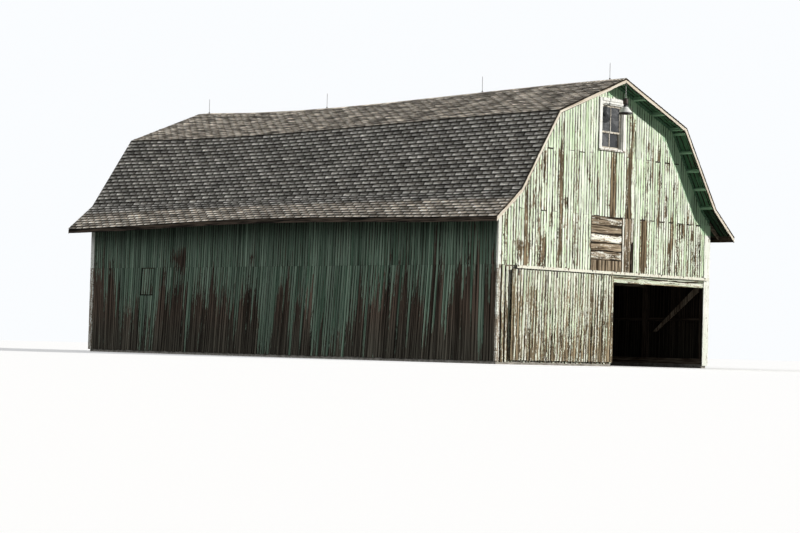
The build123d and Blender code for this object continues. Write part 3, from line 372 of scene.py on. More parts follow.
def standing_paint(name, bareness, paint, chalk, eave_shade_paint=None, foot=None):
    """Worn paint for carried-over upright trim, with its streaks along Z.

    A height and a colour may also be given: above that height at the front right that colour is painted,
    as the shade of the eave on the corner.
    foot gives a height, the bareness below it, and how far right that reaches.
    """
    tree = Surface(name)
    x, y, z = tree.split(tree.own_place())
    if eave_shade_paint:
        height, shade = eave_shade_paint
        # Painted shade of the eave at the top of the front right corner
        place = tree.times(tree.step(x, -0.1, 0.1), tree.step(y, 0.1, -0.1))
        place = tree.times(place, tree.step(z, height - 0.01, height + 0.01))
        paint, chalk = tree.blend(place, paint, shade), tree.blend(place, chalk, shade)
    if foot:
        height, foot_bareness, reach = foot
        low = tree.times(tree.step(z, height + 0.01, height), tree.step(x, reach + 0.1, reach - 0.1))
        bareness = tree.lerp(low, bareness, foot_bareness)
    coat = tree.use(worn_paint_group, {
        "Place": tree.vector(tree.plus(x, y), z, 0.0), "State": tree.vector(bareness, 1.0, 0.5),
        "Paint": paint, "Chalk": chalk, "Grime": (0.42, 0.39, 0.30), "Fresh": paint,
        "Wood light": (0.34, 0.28, 0.21), "Wood dark": (0.10, 0.075, 0.05)})
    return tree.finish(coat["Color"], coat["Roughness"], coat["Height"], TRIM_RELIEF)


def shingles(name, grit, wear, uneven, upper=None, upper_end=0.0):
    """grit gives a light, a dark, a stain and a bare edge colour. The bare edge is worn grit and also a
    painted highlight, and wear says how much of it shows.

    upper gives those of the courses above upper_end, measured down the slope.
    """
    tree = Surface(name)
    place, state = tree.board_places()

    def lay_grit(colors):
        inputs = dict(zip(("Light", "Dark", "Stain", "Bare edge"), colors))
        inputs.update({"Place": place, "State": state, "Wear": wear, "Uneven": uneven})
        return tree.use(grit_group, inputs)

    main = lay_grit(grit)
    color = main["Color"]
    if upper:
        _, run, _ = tree.split(place)
        lower = tree.step(run, upper_end - 0.01, upper_end + 0.01)
        color = tree.blend(lower, lay_grit(upper)["Color"], color)
    return tree.finish(color, 0.92, main["Height"], SHINGLE_RELIEF, SHINGLE_GLOSS)


def frame_wood(name, light, dark, axis):
    """Wood of a carried-over piece. axis is the one along its grain."""
    tree = Surface(name)
    place = tree.own_place()
    if axis != "y":
        x, y, z = tree.split(place)
        place = tree.vector(y, x, z) if axis == "x" else tree.vector(x, z, y)
    grain = tree.use(grain_group, {"Place": place, "Light": light, "Dark": dark})
    return tree.finish(grain["Color"], 0.85, grain["Height"], TRIM_RELIEF, WOOD_GLOSS)


def metal(name, base, rust_amount, metallic, roughness, foot=None):
    """foot gives a height and the base colour under it."""
    tree = Surface(name)
    place = tree.own_place()
    if foot:
        height, foot_color = foot
        _, _, up = tree.split(place)
        base = tree.blend(tree.step(up, height, height + 0.004), foot_color, base)
    rust = tree.use(rust_group, {"Place": place, "Base": base, "Amount": rust_amount})
    mask = rust["Mask"]
    tree.set("Metallic", tree.lerp(mask, metallic, 0.0))
    return tree.finish(rust["Color"], tree.lerp(mask, roughness, 0.9), mask, RUST_RELIEF)


def shade_enamel(rim, cap):
    """Worn white enamel, dark above the cap's height, and painted dark below the rim's height as the shade
    under the rim, with chipped edges.
    """
    tree = Surface("worn lamp enamel")
    place = tree.own_place()
    _, _, up = tree.split(place)
    chips = tree.times(tree.noise(place, 60.0, 3.0, 0.6), 0.012)
    # Painted shade along the bottom of the rim
    below = tree.step(tree.minus(up, chips), rim, rim - 0.004)
    above = tree.step(tree.plus(up, chips), cap, cap + 0.006)
    rust = tree.use(rust_group, {"Place": place, "Base": (0.86, 0.88, 0.85), "Amount": 0.34})
    mask = rust["Mask"]
    color = tree.blend(tree.math("MAXIMUM", below, above), rust["Color"], (0.035, 0.033, 0.030))
    return tree.finish(color, tree.lerp(mask, 0.38, 0.9), mask, RUST_RELIEF)


def dusty_glass():
    tree = Surface("dusty glass")
    dust = tree.noise(tree.own_place(), (3.0, 3.0, 5.0), 5.0, 0.6)
    color = tree.blend(tree.step(dust, 0.35, 0.7), (0.034, 0.037, 0.042), (0.060, 0.064, 0.070))
    tree.set("Base Color", color)
    tree.set("Roughness", tree.lerp(tree.step(dust, 0.4, 0.7), 0.12, 0.4))
    tree.set("Alpha", 0.88)
    return tree.material


def rough_concrete():
    tree = Surface("footing stone")
    place = tree.own_place()
    lumps, grit = tree.noise(place, 9.0, 6.0, 0.6), tree.noise(place, 90.0, 3.0, 0.7)
    shade = tree.plus(tree.times(lumps, 0.6), tree.times(grit, 0.4))
    color = tree.blend(tree.step(shade, 0.35, 0.65), (0.16, 0.15, 0.13), (0.42, 0.40, 0.36))
    return tree.finish(color, 0.95, shade, STONE_RELIEF)


GREY_WOOD, DARK_WOOD = (0.30, 0.25, 0.19), (0.065, 0.045, 0.032)
# Painted shade: darker wood for the framing deep inside the barn
SHADED_WOOD = ((0.085, 0.066, 0.050), (0.022, 0.016, 0.012))
# A deeper green for paint that never faded and for the painted shade of the right eave
EAVE_SHADE_GREEN = (0.42, 0.65, 0.42)
# Height down to which the eave's shade is painted on the front right corner board
EAVE_SHADE_FOOT = 3.54
# The last colour of each grit is the pale tab edge, worn grit and painted highlight
GREY_GRIT = ((0.36, 0.345, 0.305), (0.10, 0.093, 0.081), (0.26, 0.235, 0.195), (0.74, 0.715, 0.66))
TAN_GRIT = ((0.70, 0.62, 0.51), (0.25, 0.21, 0.165), (0.58, 0.49, 0.39), (0.99, 0.93, 0.83))
BROWN_GRIT = ((0.75, 0.66, 0.54), (0.28, 0.235, 0.18), (0.61, 0.52, 0.41), (0.99, 0.93, 0.83))

gable_paint = painted_boards(
    "mint paint on gable boards", paint=(0.645, 0.815, 0.545), chalk=(0.96, 0.995, 0.905),
    grime=(0.13, 0.14, 0.065), wood=((0.31, 0.235, 0.145), (0.026, 0.018, 0.010)), unfaded_and_shaded=EAVE_SHADE_GREEN)
# The side walls carry the same mint paint as the gable, its colours painted much darker as the shade of those
# walls
side_paint = painted_boards(
    "green paint on side boards, painted dark as in shade", paint=(0.066, 0.118, 0.079), chalk=(0.250, 0.340, 0.262),
    grime=(0.006, 0.011, 0.007), wood=((0.145, 0.106, 0.081), (0.012, 0.009, 0.006)), streak=0.29,
    foot_wood=(0.125, 0.115, 0.090), shaded=(2.5, 3.7, 0.28))
door_paint = painted_boards(
    "worn paint on door boards", paint=(0.53, 0.645, 0.43), chalk=(0.95, 0.96, 0.87),
    grime=(0.17, 0.155, 0.08), wood=((0.38, 0.305, 0.195), (0.036, 0.026, 0.014)), streak=0.7)
bare_wood = painted_boards(
    "bare weathered boards", paint=(0.80, 0.82, 0.71), chalk=(0.96, 0.96, 0.88), grime=(0.4, 0.36, 0.3),
    wood=((0.46, 0.37, 0.26), (0.055, 0.038, 0.022)))
cream_paint = painted_boards(
    "cream paint on rake boards", paint=(0.66, 0.58, 0.46), chalk=(0.82, 0.78, 0.68),
    grime=(0.32, 0.23, 0.16), wood=((0.30, 0.22, 0.15), (0.12, 0.09, 0.065)), streak=0.6)
soffit_paint = painted_boards(
    "dark green soffit", paint=(0.075, 0.190, 0.100), chalk=(0.12, 0.25, 0.15), grime=(0.02, 0.045, 0.026),
    wood=((0.08, 0.066, 0.050), (0.02, 0.016, 0.013)))
corner_paint = standing_paint(
    "white paint on corner boards", 0.35, (0.74, 0.79, 0.69), (0.91, 0.92, 0.88),
    eave_shade_paint=(EAVE_SHADE_FOOT, EAVE_SHADE_GREEN), foot=(BELT, 0.56, 0.0))
trim_paint = standing_paint(
    "white paint on window trim", 0.30, (0.80, 0.81, 0.77), (0.90, 0.90, 0.88),
    foot=(WINDOW_SILL, 0.52, WALL_X))
sash_paint = standing_paint("brownish white paint on sashes", 0.46, (0.60, 0.54, 0.44), (0.72, 0.69, 0.62))
upper_shingle = shingles("tan brown shingles", TAN_GRIT, 0.85, 0.95)
lower_shingle = shingles("dark grey shingles", GREY_GRIT, 0.85, 0.3)
flare_shingle = shingles("brown shingles of the flare", BROWN_GRIT, 0.9, 0.7, upper=GREY_GRIT, upper_end=0.36)
dark_timber = frame_wood("timbers in the dark", *SHADED_WOOD, "z")
dark_rail = frame_wood("rails in the dark", *SHADED_WOOD, "y")
upright_wood = frame_wood("upright framing", GREY_WOOD, DARK_WOOD, "z")
lengthwise_wood = frame_wood("lengthwise framing", GREY_WOOD, DARK_WOOD, "y")
crosswise_wood = frame_wood("crosswise framing", GREY_WOOD, DARK_WOOD, "x")
green_lookout = frame_wood("painted lookouts", (0.36, 0.58, 0.40), (0.16, 0.30, 0.19), "y")
green_frieze = frame_wood("painted friezes", (0.22, 0.42, 0.26), (0.07, 0.15, 0.09), "y")
dark_fascia = frame_wood("fascia boards", (0.105, 0.080, 0.060), (0.005, 0.004, 0.003), "y")
pale_steel = metal("weathered galvanised steel", (0.60, 0.60, 0.51), 0.42, 0.25, 0.6)
dark_iron = metal("dark iron", (0.05, 0.045, 0.04), 0.45, 0.7, 0.6)
arm_steel = metal("grey lamp arm", (0.30, 0.31, 0.29), 0.35, 0.3, 0.6, foot=(6.765, (0.030, 0.028, 0.026)))
glass = dusty_glass()
concrete = rough_concrete()


# Laid pieces
def add_piece(name, data):
    """Put a mesh, a light or a camera into the scene."""
    piece = bpy.data.objects.new(name, data)
    bpy.context.scene.collection.objects.link(piece)
    return piece


class Layer:
    """One mesh that gathers many boards or shingles, each with its place and state."""

    def __init__(self, name):
        self.name = name
        self.points, self.faces, self.places, self.states = [], [], [], []

    def point(self, where, place, state):
        self.points.append(where)
        self.places.append(place)
        self.states.append(state)
        return len(self.points) - 1

    def face(self, *corners, flip=False):
        self.faces.append(corners[::-1] if flip else corners)

    def finish(self, material, slot, body, replaced):
        mesh = bpy.data.meshes.new(self.name)
        mesh.from_pydata(self.points, [], self.faces)
        for label, values in (("place", self.places), ("state", self.states)):
            attribute = mesh.attributes.new(label, "FLOAT_VECTOR", "POINT")
            attribute.data.foreach_set("vector", [v for value in values for v in value])
        mesh.materials.append(material)
        mesh.validate()
        mesh.update()
        piece = add_piece(self.name, mesh)
        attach(piece, body)
        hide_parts(*replaced)


def pairs(values):
    return list(zip(values[:-1], values[1:]))


def everywhere(value):
    """A value as a function of place, if it isn't one already."""
    return value if callable(value) else lambda *place: value


def smooth(value, low, high):
    t = min(max((value - low) / (high - low), 0.0), 1.0)
    return t * t * (3 - 2 * t)


def between(places, values, place):
    """The value at a place, run straight from each known place to the next."""
    i = min(max(bisect.bisect(places, place) - 1, 0), len(places) - 2)
    share = min(max((place - places[i]) / (places[i + 1] - places[i]), 0.0), 1.0)
    return values[i] * (1 - share) + values[i + 1] * share


EDGE, BEVEL, HOLLOW = 0.006, 0.005, 0.002
DRIFT, SWELL = 0.0012, 0.0015
BOARD_TONES = (0.86, 1.1)
# The backs of boards are bare wood, painted dark as the shade inside the barn
BACK_BARENESS, BACK_SHADE = 1.5, 0.40
# How far apart the textures of single boards and single shingles may lie
BOARD_SEEDS, SHINGLE_SEEDS = 900.0, 40.0


def lay_board(layer, put, left, right, foot, head, bareness, tone=None, thickness=BOARD_THICKNESS, rise=0.45,
              sunk=0.003, ragged=0.0):
    """A board between two edges. put turns (across, depth, up) into a point; foot and head may follow across.

    bareness is a number or a function of (across, up). rise is the most between two rings of points.
    """
    width = right - left
    seed = rng.random() * BOARD_SEEDS
    tone = tone if tone is not None else rng.uniform(*BOARD_TONES)
    recess = rng.uniform(0.0, sunk)
    hollow = rng.uniform(0.0, HOLLOW)
    back = thickness - recess
    section = (
        (0.0, BEVEL), (min(EDGE, width / 4), 0.0), (width / 2, hollow),
        (max(width - EDGE, width * 3 / 4), 0.0), (width, BEVEL), (width, back), (0.0, back))
    foot, head, bareness = everywhere(foot), everywhere(head), everywhere(bareness)
    middle = left + width / 2
    rows = max(2, 1 + math.ceil((head(middle) - foot(middle)) / rise))
    end_wear = rng.uniform(-ragged, ragged)
    rings = []
    for row in range(rows):
        inside = 0 < row < rows - 1
        drift = rng.uniform(-DRIFT, DRIFT) if inside else 0.0
        swell = rng.uniform(0.0, SWELL) if inside else 0.0
        ring = []
        for across, depth in section:
            s = left + across
            low, high = foot(s) + end_wear, head(s)
            up = low + (high - low) * (row / (rows - 1))
            # Faces toward the back get bare wood with painted shade
            wear = (bareness(s, up), tone) if depth <= thickness / 2 else (BACK_BARENESS, BACK_SHADE)
            where = put(s + drift, recess + depth + swell, up)
            ring.append(layer.point(where, (across, up, seed), (*wear, across / width)))
        rings.append(ring)
    count = len(section)
    for low_ring, high_ring in pairs(rings):
        for k in range(count):
            after = (k + 1) % count
            layer.face(low_ring[k], low_ring[after], high_ring[after], high_ring[k])
    layer.face(*rings[0], flip=True)
    layer.face(*rings[-1])


def uneven_edges(start, end, width, spread, marks=()):
    """Edges of boards of uneven width from start to end, with an edge at each mark."""
    edges = [start]
    for low, high in pairs(sorted([start, end, *marks])):
        count = max(1, round((high - low) / width))
        shares = [1 + rng.uniform(-spread, spread) for _ in range(count)]
        total = sum(shares)
        place = low
        for share in shares[:-1]:
            place += (high - low) * share / total
            edges.append(place)
        edges.append(high)
    return edges


def even_edges(stops, width):
    """Edges of boards between stops, as even as they go."""
    edges = [stops[0]]
    for low, high in pairs(stops):
        count = max(1, round((high - low) / width))
        edges += [low + (high - low) * (k + 1) / count for k in range(count)]
    return edges


# Roof surface
def slope_numbers(slope):
    """Its upper corner, the cosine and sine of its pitch, and its length."""
    (x0, z0), (x1, z1) = (CORNERS[name] for name in SLOPES[slope])
    length = math.hypot(x1 - x0, z1 - z0)
    return x0, z0, (x1 - x0) / length, (z0 - z1) / length, length


def slope_line(slope, x, depth):
    x0, z0, cos, sin, _ = slope_numbers(slope)
    return z0 - (x - x0) * sin / cos - depth / cos


def mitre(name, depth):
    """How far out a roof corner lies at a depth."""
    if name == "ridge":
        return 0.0
    above, below = ("upper", "lower") if name == "break" else ("lower", "flare")
    falls = [slope_numbers(s)[3] / slope_numbers(s)[2] for s in (above, below)]
    return (slope_line(above, 0.0, depth) - slope_line(below, 0.0, depth)) / (falls[0] - falls[1])


FRAME_SHARES = [i / (FRAME_COUNT - 1) for i in range(FRAME_COUNT)]
FRAMES = [FIRST_FRAME - 2 * FIRST_FRAME * t for t in FRAME_SHARES]
FRAME_SAGS = [RIDGE_SAG * 27 / 4 * t * t * (1 - t) for t in FRAME_SHARES]
FRAME_LIFTS = [EAVE_LIFT * 16 * t * t * (1 - t) ** 2 for t in FRAME_SHARES]
KICK_X = mitre("kick", 0.0)
KICK_STEP = mitre("kick", 1.0) - KICK_X


def sag(y):
    return between(FRAMES, FRAME_SAGS, y)


def roof_point(slope, side, run, y, depth):
    """A point down a slope, under its outer face by depth."""
    x0, z0, cos, sin, length = slope_numbers(slope)
    x, z = x0 + cos * run - sin * depth, z0 - sin * run - cos * depth
    if slope == "flare":
        kick_x = KICK_X + KICK_STEP * depth
        share = max((x - kick_x) / (CORNERS["eave"][0] - kick_x), 0.0)
        return side * x, y, z + share * between(FRAMES, FRAME_LIFTS, y)
    top, low = (SAG_SHARE[name] for name in SLOPES[slope])
    share = top + (low - top) * min(max(run / length, 0.0), 1.0)
    return side * x, y, z - share * sag(y)


# Shingles
TAB_WIDTH, EXPOSURE, SLOT, TAB_THICKNESS = 0.305, 0.127, 0.016, 0.0065
BUTT_DEPTH, TAB_BASE, SHEET_DEPTH = 0.0009, SHINGLE_DEPTH - 0.0006, SHINGLE_DEPTH - 0.001
LAP, SKIRT_SETBACK = 0.02, 0.002
NARROWEST_TAB, HIGHEST_CURL = 0.02, 0.012
TAB_TONES, ODD_TAB_TONES, EVEN_TABS = (0.66, 1.28), (0.45, 1.55), 0.8
COURSE_SLIP, COURSE_WAVE, TAB_WAVE = 0.01, 0.0015, 0.002
# Place up the tab and painted shade of the butts, and the state of the sheet in the slots, painted dark
# as their shade
BUTT_ALONG, BUTT_SHADE, SHADED_SHEET_STATE = 0.9, 0.6, (0.9, 0.45, 0.5)
# The share of tabs that curl little, how much the others curl, and how much these do
CURLS = {"upper": (0.6, 0.012, 0.006), "lower": (0.9, 0.006, 0.0025), "flare": (0.9, 0.006, 0.0025)}


def lay_tab(layer, slope, side, run, height, y0, y1, curl, tone):
    """One tab of a three-tab shingle. Its butt stands off the course below, its head is under the next."""
    seed = rng.random() * SHINGLE_SEEDS
    places = (y0, (y0 + y1) / 2, y1)
    rows = []
    for along in (0.0, 0.42, 1.0):
        row = []
        up = run - along * height
        for k, y in enumerate(places):
            depth = BUTT_DEPTH + along * (TAB_THICKNESS - BUTT_DEPTH) - (1 - along) ** 2 * curl[k]
            where = roof_point(slope, side, up, y, max(depth, -HIGHEST_CURL))
            row.append(layer.point(where, (y, up, seed), (along, tone, k / 2)))
        rows.append(row)
    skirt = []
    for k, y in enumerate(places):
        where = roof_point(slope, side, run - SKIRT_SETBACK, y, TAB_BASE)
        skirt.append(layer.point(where, (y, run, seed), (BUTT_ALONG, tone * BUTT_SHADE, k / 2)))
    for low, high in pairs(rows) + [(skirt, rows[0])]:
        for k in (0, 1):
            layer.face(low[k], low[k + 1], high[k + 1], high[k], flip=side < 0)
    for k in (0, 2):
        top = roof_point(slope, side, run - height, places[k], TAB_BASE)
        end = layer.point(top, (y0, run, seed), (BUTT_ALONG, tone * BUTT_SHADE, k / 2))
        layer.face(skirt[k], rows[0][k], rows[1][k], rows[2][k], end, flip=(k == 0) != (side > 0))


def lay_slope(slope, material, slot, overhang):
    """All courses of one slope on both sides, over a base sheet that shows in the slots, painted dark as
    their shade.
    """
    layer = Layer(f"{slope}_slope_shingles")
    reach = slope_numbers(slope)[4] + overhang
    courses = round(reach / EXPOSURE)
    exposure = reach / courses
    stops = [-OVERHANG_END] + FRAMES + [OVERHANG_END]
    places = [y0 + (y1 - y0) * k / 6 for y0, y1 in pairs(stops) for k in range(6)] + [OVERHANG_END]
    flat_share, strong_curl, slight_curl = CURLS[slope]
    for side in (-1, 1):
        for course in range(courses):
            run = reach - course * exposure
            offset = (0.5 if course % 2 else 0.0) * TAB_WIDTH + rng.uniform(-COURSE_SLIP, COURSE_SLIP)
            wave = rng.uniform(-COURSE_WAVE, COURSE_WAVE)
            height = min(exposure + LAP, run)
            eave = course == 0 and slope == "flare"
            y = -OVERHANG_END - offset
            while y < OVERHANG_END:
                y0, y1 = max(y, -OVERHANG_END), min(y + TAB_WIDTH - SLOT, OVERHANG_END)
                if y1 - y0 > NARROWEST_TAB:
                    most = strong_curl if rng.random() > flat_share else slight_curl
                    curl = [0.0] * 3 if eave else [rng.uniform(0.0, most) for _ in range(3)]
                    shift = 0.0 if course == 0 else wave + rng.uniform(-TAB_WAVE, TAB_WAVE)
                    tone = rng.uniform(*(TAB_TONES if rng.random() < EVEN_TABS else ODD_TAB_TONES))
                    lay_tab(layer, slope, side, run + shift, height, y0, y1, curl, tone)
                y += TAB_WIDTH
        rows = []
        for k in range(courses + 1):
            run = reach * k / courses
            points = [roof_point(slope, side, run, y, SHEET_DEPTH) for y in places]
            rows.append([layer.point(point, (point[1], run, 0.0), SHADED_SHEET_STATE) for point in points])
        for high, low in pairs(rows):
            for k in range(len(places) - 1):
                layer.face(high[k], low[k], low[k + 1], high[k + 1], flip=side < 0)
    layer.finish(material, slot, "barn", [f"{slope}_shingles"])


CAP_WING, CAP_LAP, CAP_THICKNESS = 0.150, 0.03, 0.0045
CAP_RAISED, CAP_SUNK, CAP_DRIFT = 0.0066, 0.0015, 0.001
CAP_TONES = (0.75, 1.2)


def lay_ridge_cap():
    """Bent caps that lap each other along the ridge."""
    layer = Layer("ridge_cap_shingles")
    count = round(2 * OVERHANG_END / EXPOSURE)
    step = 2 * OVERHANG_END / count
    for k in range(count):
        y0 = -OVERHANG_END + k * step
        y1 = min(y0 + step + CAP_LAP, OVERHANG_END)
        tone = rng.uniform(*CAP_TONES)
        seed = rng.random() * SHINGLE_SEEDS
        rows = []
        for y, raised, along in ((y0, CAP_RAISED, 0.1), (y1, CAP_SUNK, 0.8)):
            for under in (0.0, CAP_THICKNESS):
                row = []
                for side, run in ((-1, CAP_WING), (-1, 0.0), (1, CAP_WING)):
                    depth = under - raised
                    if run:
                        where = roof_point("upper", side, run, y, depth + rng.uniform(-CAP_DRIFT, 0.0))
                    else:
                        where = (0.0, y, slope_line("upper", 0.0, depth) - sag(y))
                    row.append(layer.point(where, (y, run * side, seed), (along, tone, 0.5)))
                rows.append(row)
        near, near_under, far, far_under = rows
        for j in (0, 1):
            layer.face(near[j], near[j + 1], far[j + 1], far[j])
            layer.face(near_under[j + 1], near_under[j], far_under[j], far_under[j + 1])
            layer.face(near_under[j], near_under[j + 1], near[j + 1], near[j])
            layer.face(far[j], far[j + 1], far_under[j + 1], far_under[j])
        layer.face(near[0], far[0], far_under[0], near_under[0])
        layer.face(near[2], near_under[2], far_under[2], far[2])
    layer.finish(upper_shingle, "upper_shingle", "barn", ["ridge_cap"])


lay_slope("upper", upper_shingle, "upper_shingle", 0.012)
lay_slope("lower", lower_shingle, "lower_shingle", 0.008)
lay_slope("flare", flare_shingle, "flare_shingle", 0.0)
lay_ridge_cap()


SHEATHING_WIDTH, SHEATHING_THICKNESS, SHEATHING_INSET = 0.145, 0.0215, 0.002
SHEATHING_GAPS, SHEATHING_BARENESS = (0.0015, 0.004), (0.15, 0.45)
# Painted shade: the boards over the flare are made darker, as deep in the shade of the eave
FLARE_SOFFIT_SHADE = 0.35


def lay_roof_boards():
    """Boards that run down the slopes on the purlins."""
    layer = Layer("sheathing_boards")
    edges = uneven_edges(-OVERHANG_END, OVERHANG_END, SHEATHING_WIDTH, 0.12)
    for side in (-1, 1):
        for slope in SLOPES:
            _, _, cos, _, length = slope_numbers(slope)
            end = length - (EAVE_DRIP / cos if slope == "flare" else 0.0)

            def put(y, depth, up):
                return roof_point(slope, side, end - up, y, ROOF_BOARD_DEPTH - depth)

            for y0, y1 in pairs(edges):
                gap = rng.uniform(*SHEATHING_GAPS)
                tone = rng.uniform(*BOARD_TONES) * (FLARE_SOFFIT_SHADE if slope == "flare" else 1.0)
                lay_board(layer, put, y0 + gap / 2, y1 - gap / 2, SHEATHING_INSET, end - SHEATHING_INSET,
                          rng.uniform(*SHEATHING_BARENESS), tone, thickness=SHEATHING_THICKNESS, rise=3.0,
                          sunk=0.0005)
    layer.finish(soffit_paint, "roof_board", "barn", ["roof_boards"])


lay_roof_boards()


# Walls
def gable_top(x):
    """Underside of the purlins at the gable."""
    x = abs(x)
    if x < mitre("break", PURLIN_BOTTOM):
        slope = "upper"
    elif x < mitre("kick", PURLIN_BOTTOM):
        slope = "lower"
    else:
        slope = "flare"
    return slope_line(slope, x, PURLIN_BOTTOM + 0.001)


# Streaks of the front gable where the paint is gone: across, up, half width, half height, how much
FRONT_STREAKS = (
    (0.73, 3.9, 0.10, 1.45, 0.46), (0.0, 4.6, 0.22, 0.8, 0.24), (0.1, 4.3, 0.06, 0.6, 0.06),
    (0.9, 5.9, 0.06, 0.5, 0.28), (1.55, 5.7, 0.06, 0.2, 0.30), (1.7, 5.2, 0.05, 0.5, 0.26),
    (2.0, 5.5, 0.08, 0.15, 0.32), (2.05, 4.4, 0.09, 0.85, 0.25), (2.4, 5.3, 0.08, 0.15, 0.30),
    (2.35, 4.2, 0.06, 0.35, 0.25), (2.6, 3.6, 0.07, 0.55, 0.28), (2.65, 4.6, 0.06, 0.25, 0.26),
    (3.1, 3.6, 0.08, 0.2, 0.26), (3.5, 3.5, 0.08, 0.15, 0.26), (1.4, 3.2, 0.12, 0.7, 0.30),
    (2.5, 2.9, 0.10, 0.4, 0.24), (3.6, 2.8, 0.06, 0.4, 0.25), (-0.5, 4.4, 0.05, 0.4, 0.24),
    (-0.9, 4.9, 0.08, 0.35, 0.25), (-1.75, 4.0, 0.08, 0.15, 0.30), (-1.95, 4.9, 0.08, 0.5, 0.22),
    (-1.95, 3.5, 0.06, 1.1, 0.16), (-1.9, 5.7, 0.05, 0.3, 0.24), (-2.3, 3.6, 0.06, 0.25, 0.24),
    (-2.6, 4.9, 0.06, 0.45, 0.26), (-2.6, 2.8, 0.10, 0.35, 0.26), (-3.0, 4.1, 0.08, 0.2, 0.30),
    (-3.05, 3.2, 0.06, 0.7, 0.26), (-3.45, 2.8, 0.12, 0.3, 0.32),
)
# Places where the paint is whole, in the same way
FRONT_WHOLE = (
    (0.35, 4.6, 0.12, 0.8, -0.16), (1.2, 4.6, 0.12, 0.75, -0.16), (1.2, 5.9, 0.14, 0.4, -0.14),
    (-0.6, 3.1, 0.14, 0.6, -0.12), (3.1, 2.9, 0.18, 0.45, -0.10),
)
REAR_STREAKS = FRONT_STREAKS[3:8]
GABLE_BOARD, BEAD_GAP, SHORTEST_PIECE = 0.205, 0.0016, 0.03
GABLE_GAPS, JOINT_GAPS = (0.003, 0.009), (0.005, 0.012, 0.026, 0.036)
HIGH_JOINT, LOW_JOINT, WINDOW_JOINT = HIGH_SEAM - 0.02, LOW_SEAM + 0.015, LOW_SEAM + 0.005
# How much the wear differs between boards, between the strips of a board and between lengths of it
BOARD_LUCK, STRIP_LUCK, LENGTH_LUCK = 0.075, 0.06, 0.05
# The shade of the right eave lies so far in and down from the roof line, and boards in it are made so much
# less bare and deeper green: paint that never faded, and painted shade of the eave
SHADE_IN, SHADE_DOWN, SHELTER_AND_SHADE = 0.37, 0.24, 0.85
WINDOW_HOLE = (-WINDOW_HALF, WINDOW_HALF, WINDOW_SILL, WINDOW_HEAD)
HAY_HOLE = (HAY_LEFT, HAY_RIGHT, BELT - 0.1, LOW_SEAM)
FRONT_STOPS = (-WALL_X, -4.122, -0.650, -WINDOW_HALF, WINDOW_HALF, WALL_X)


def nearness(place, middle, half, full, none):
    """1 in the middle of a patch, 0 outside it, with full and none as shares of its half size."""
    return 1 - smooth(abs(place - middle) / half, full, none)


def gable_bareness(amount, patches, x, z):
    """An amount changed by the patches, and less in the shade of the right eave, where the paint never faded
    and where a deeper green paints the eave's shade.
    """
    for across, height, half_width, half_height, much in patches:
        near = nearness(x, across, half_width, 0.7, 1.3)
        amount += much * near * nearness(z, height, half_height, 0.7, 1.25)
    shade_line = gable_top(x + SHADE_IN) - SHADE_DOWN
    amount -= SHELTER_AND_SHADE * smooth(z, shade_line + 0.02, shade_line + 0.16) * smooth(x, -0.60, -0.40)
    return min(amount, 1.0)


def upright_put(end, out=0.0):
    """Puts upright boards on the front (end -1) or the rear (end 1), a little out if told so."""
    return lambda s, depth, up: (-end * s, end * (WALL_Y + out - depth), up)


front_put, rear_put = upright_put(-1), upright_put(1)
TILT_PIVOT = -0.12


def lying_put(tilt=0.0):
    """Puts a board of the front on its side. A tilt turns it about the pivot."""
    return lambda s, depth, up: (up, -WALL_Y + depth, s + tilt * (up - TILT_PIVOT))


def strips(edges, marks=()):
    """Each board carries a bead along its middle and is laid as two strips. A mark moves the bead."""
    for low, high in pairs(edges):
        bead = [m for m in marks if low + 0.03 < m < high - 0.03]
        yield low, bead[0] if bead else (low + high) / 2, high


def beside_openings(openings, centre, low, high):
    """The pieces that the openings in its way leave of a board."""
    pieces = [(low, high)]
    for left, right, foot, head in openings:
        if left < centre < right:
            below = [(a, min(foot, b)) for a, b in pieces if a < foot - 0.01]
            pieces = below + [(max(a, head), b) for a, b in pieces if b > head + 0.01]
    return [(a, b) for a, b in pieces if b - a >= SHORTEST_PIECE]


def lay_gable(name, put, patches, base, replaced, openings, stops):
    """Boards up to the roof. Every other one has its joint at the high seam, the rest at the low one."""
    layer = Layer(name)
    marks = [x for opening in openings for x in opening[:2]]
    for x0, middle, x1 in strips(even_edges(stops, GABLE_BOARD), marks):
        out = round((abs((x0 + x1) / 2) - WINDOW_HALF) / GABLE_BOARD + 0.5)
        joint = HIGH_JOINT if out % 2 == 0 else LOW_JOINT
        if abs((x0 + x1) / 2) < WINDOW_HALF:
            joint = WINDOW_JOINT
        opened = rng.choice(JOINT_GAPS)
        gap = rng.uniform(*GABLE_GAPS)
        board_bias = rng.gauss(0.0, BOARD_LUCK)
        ends = ((BELT + 0.001, joint - opened), (joint, math.inf))
        spans = [(low, high, rng.gauss(0.0, LENGTH_LUCK)) for low, high in ends]
        for left, right in ((x0 + gap / 2, middle - BEAD_GAP / 2), (middle + BEAD_GAP / 2, x1 - gap / 2)):
            strip_bias = rng.gauss(0.0, STRIP_LUCK)
            centre = (left + right) / 2
            roof = gable_top(centre)
            for low, high, length_bias in spans:
                bias = board_bias + strip_bias + length_bias
                for foot, head in beside_openings(openings, centre, low, min(high, roof)):
                    lay_board(layer, put, left, right, foot, gable_top if head == roof else head,
                              lambda x, z: gable_bareness(base(x, z) + bias, patches, x, z),
                              ragged=0.002, rise=0.15)
    layer.finish(gable_paint, "gable_paint", "barn", replaced)


def front_base(x, z):
    low_wear, left_wear = 0.05 * smooth(z, 4.4, 3.0), 0.05 * smooth(x, -1.5, -3.0)
    whole_left = 0.13 * smooth(z, 5.2, 5.6) * smooth(x, 0.6, -0.4)
    return 0.345 + low_wear + left_wear - whole_left + 0.03 * math.sin(x * 2.3)


def rear_base(x, z):
    return 0.38 + 0.16 * smooth(z, 4.0, 2.6) - 0.06 * smooth(z, 5.2, 5.8)


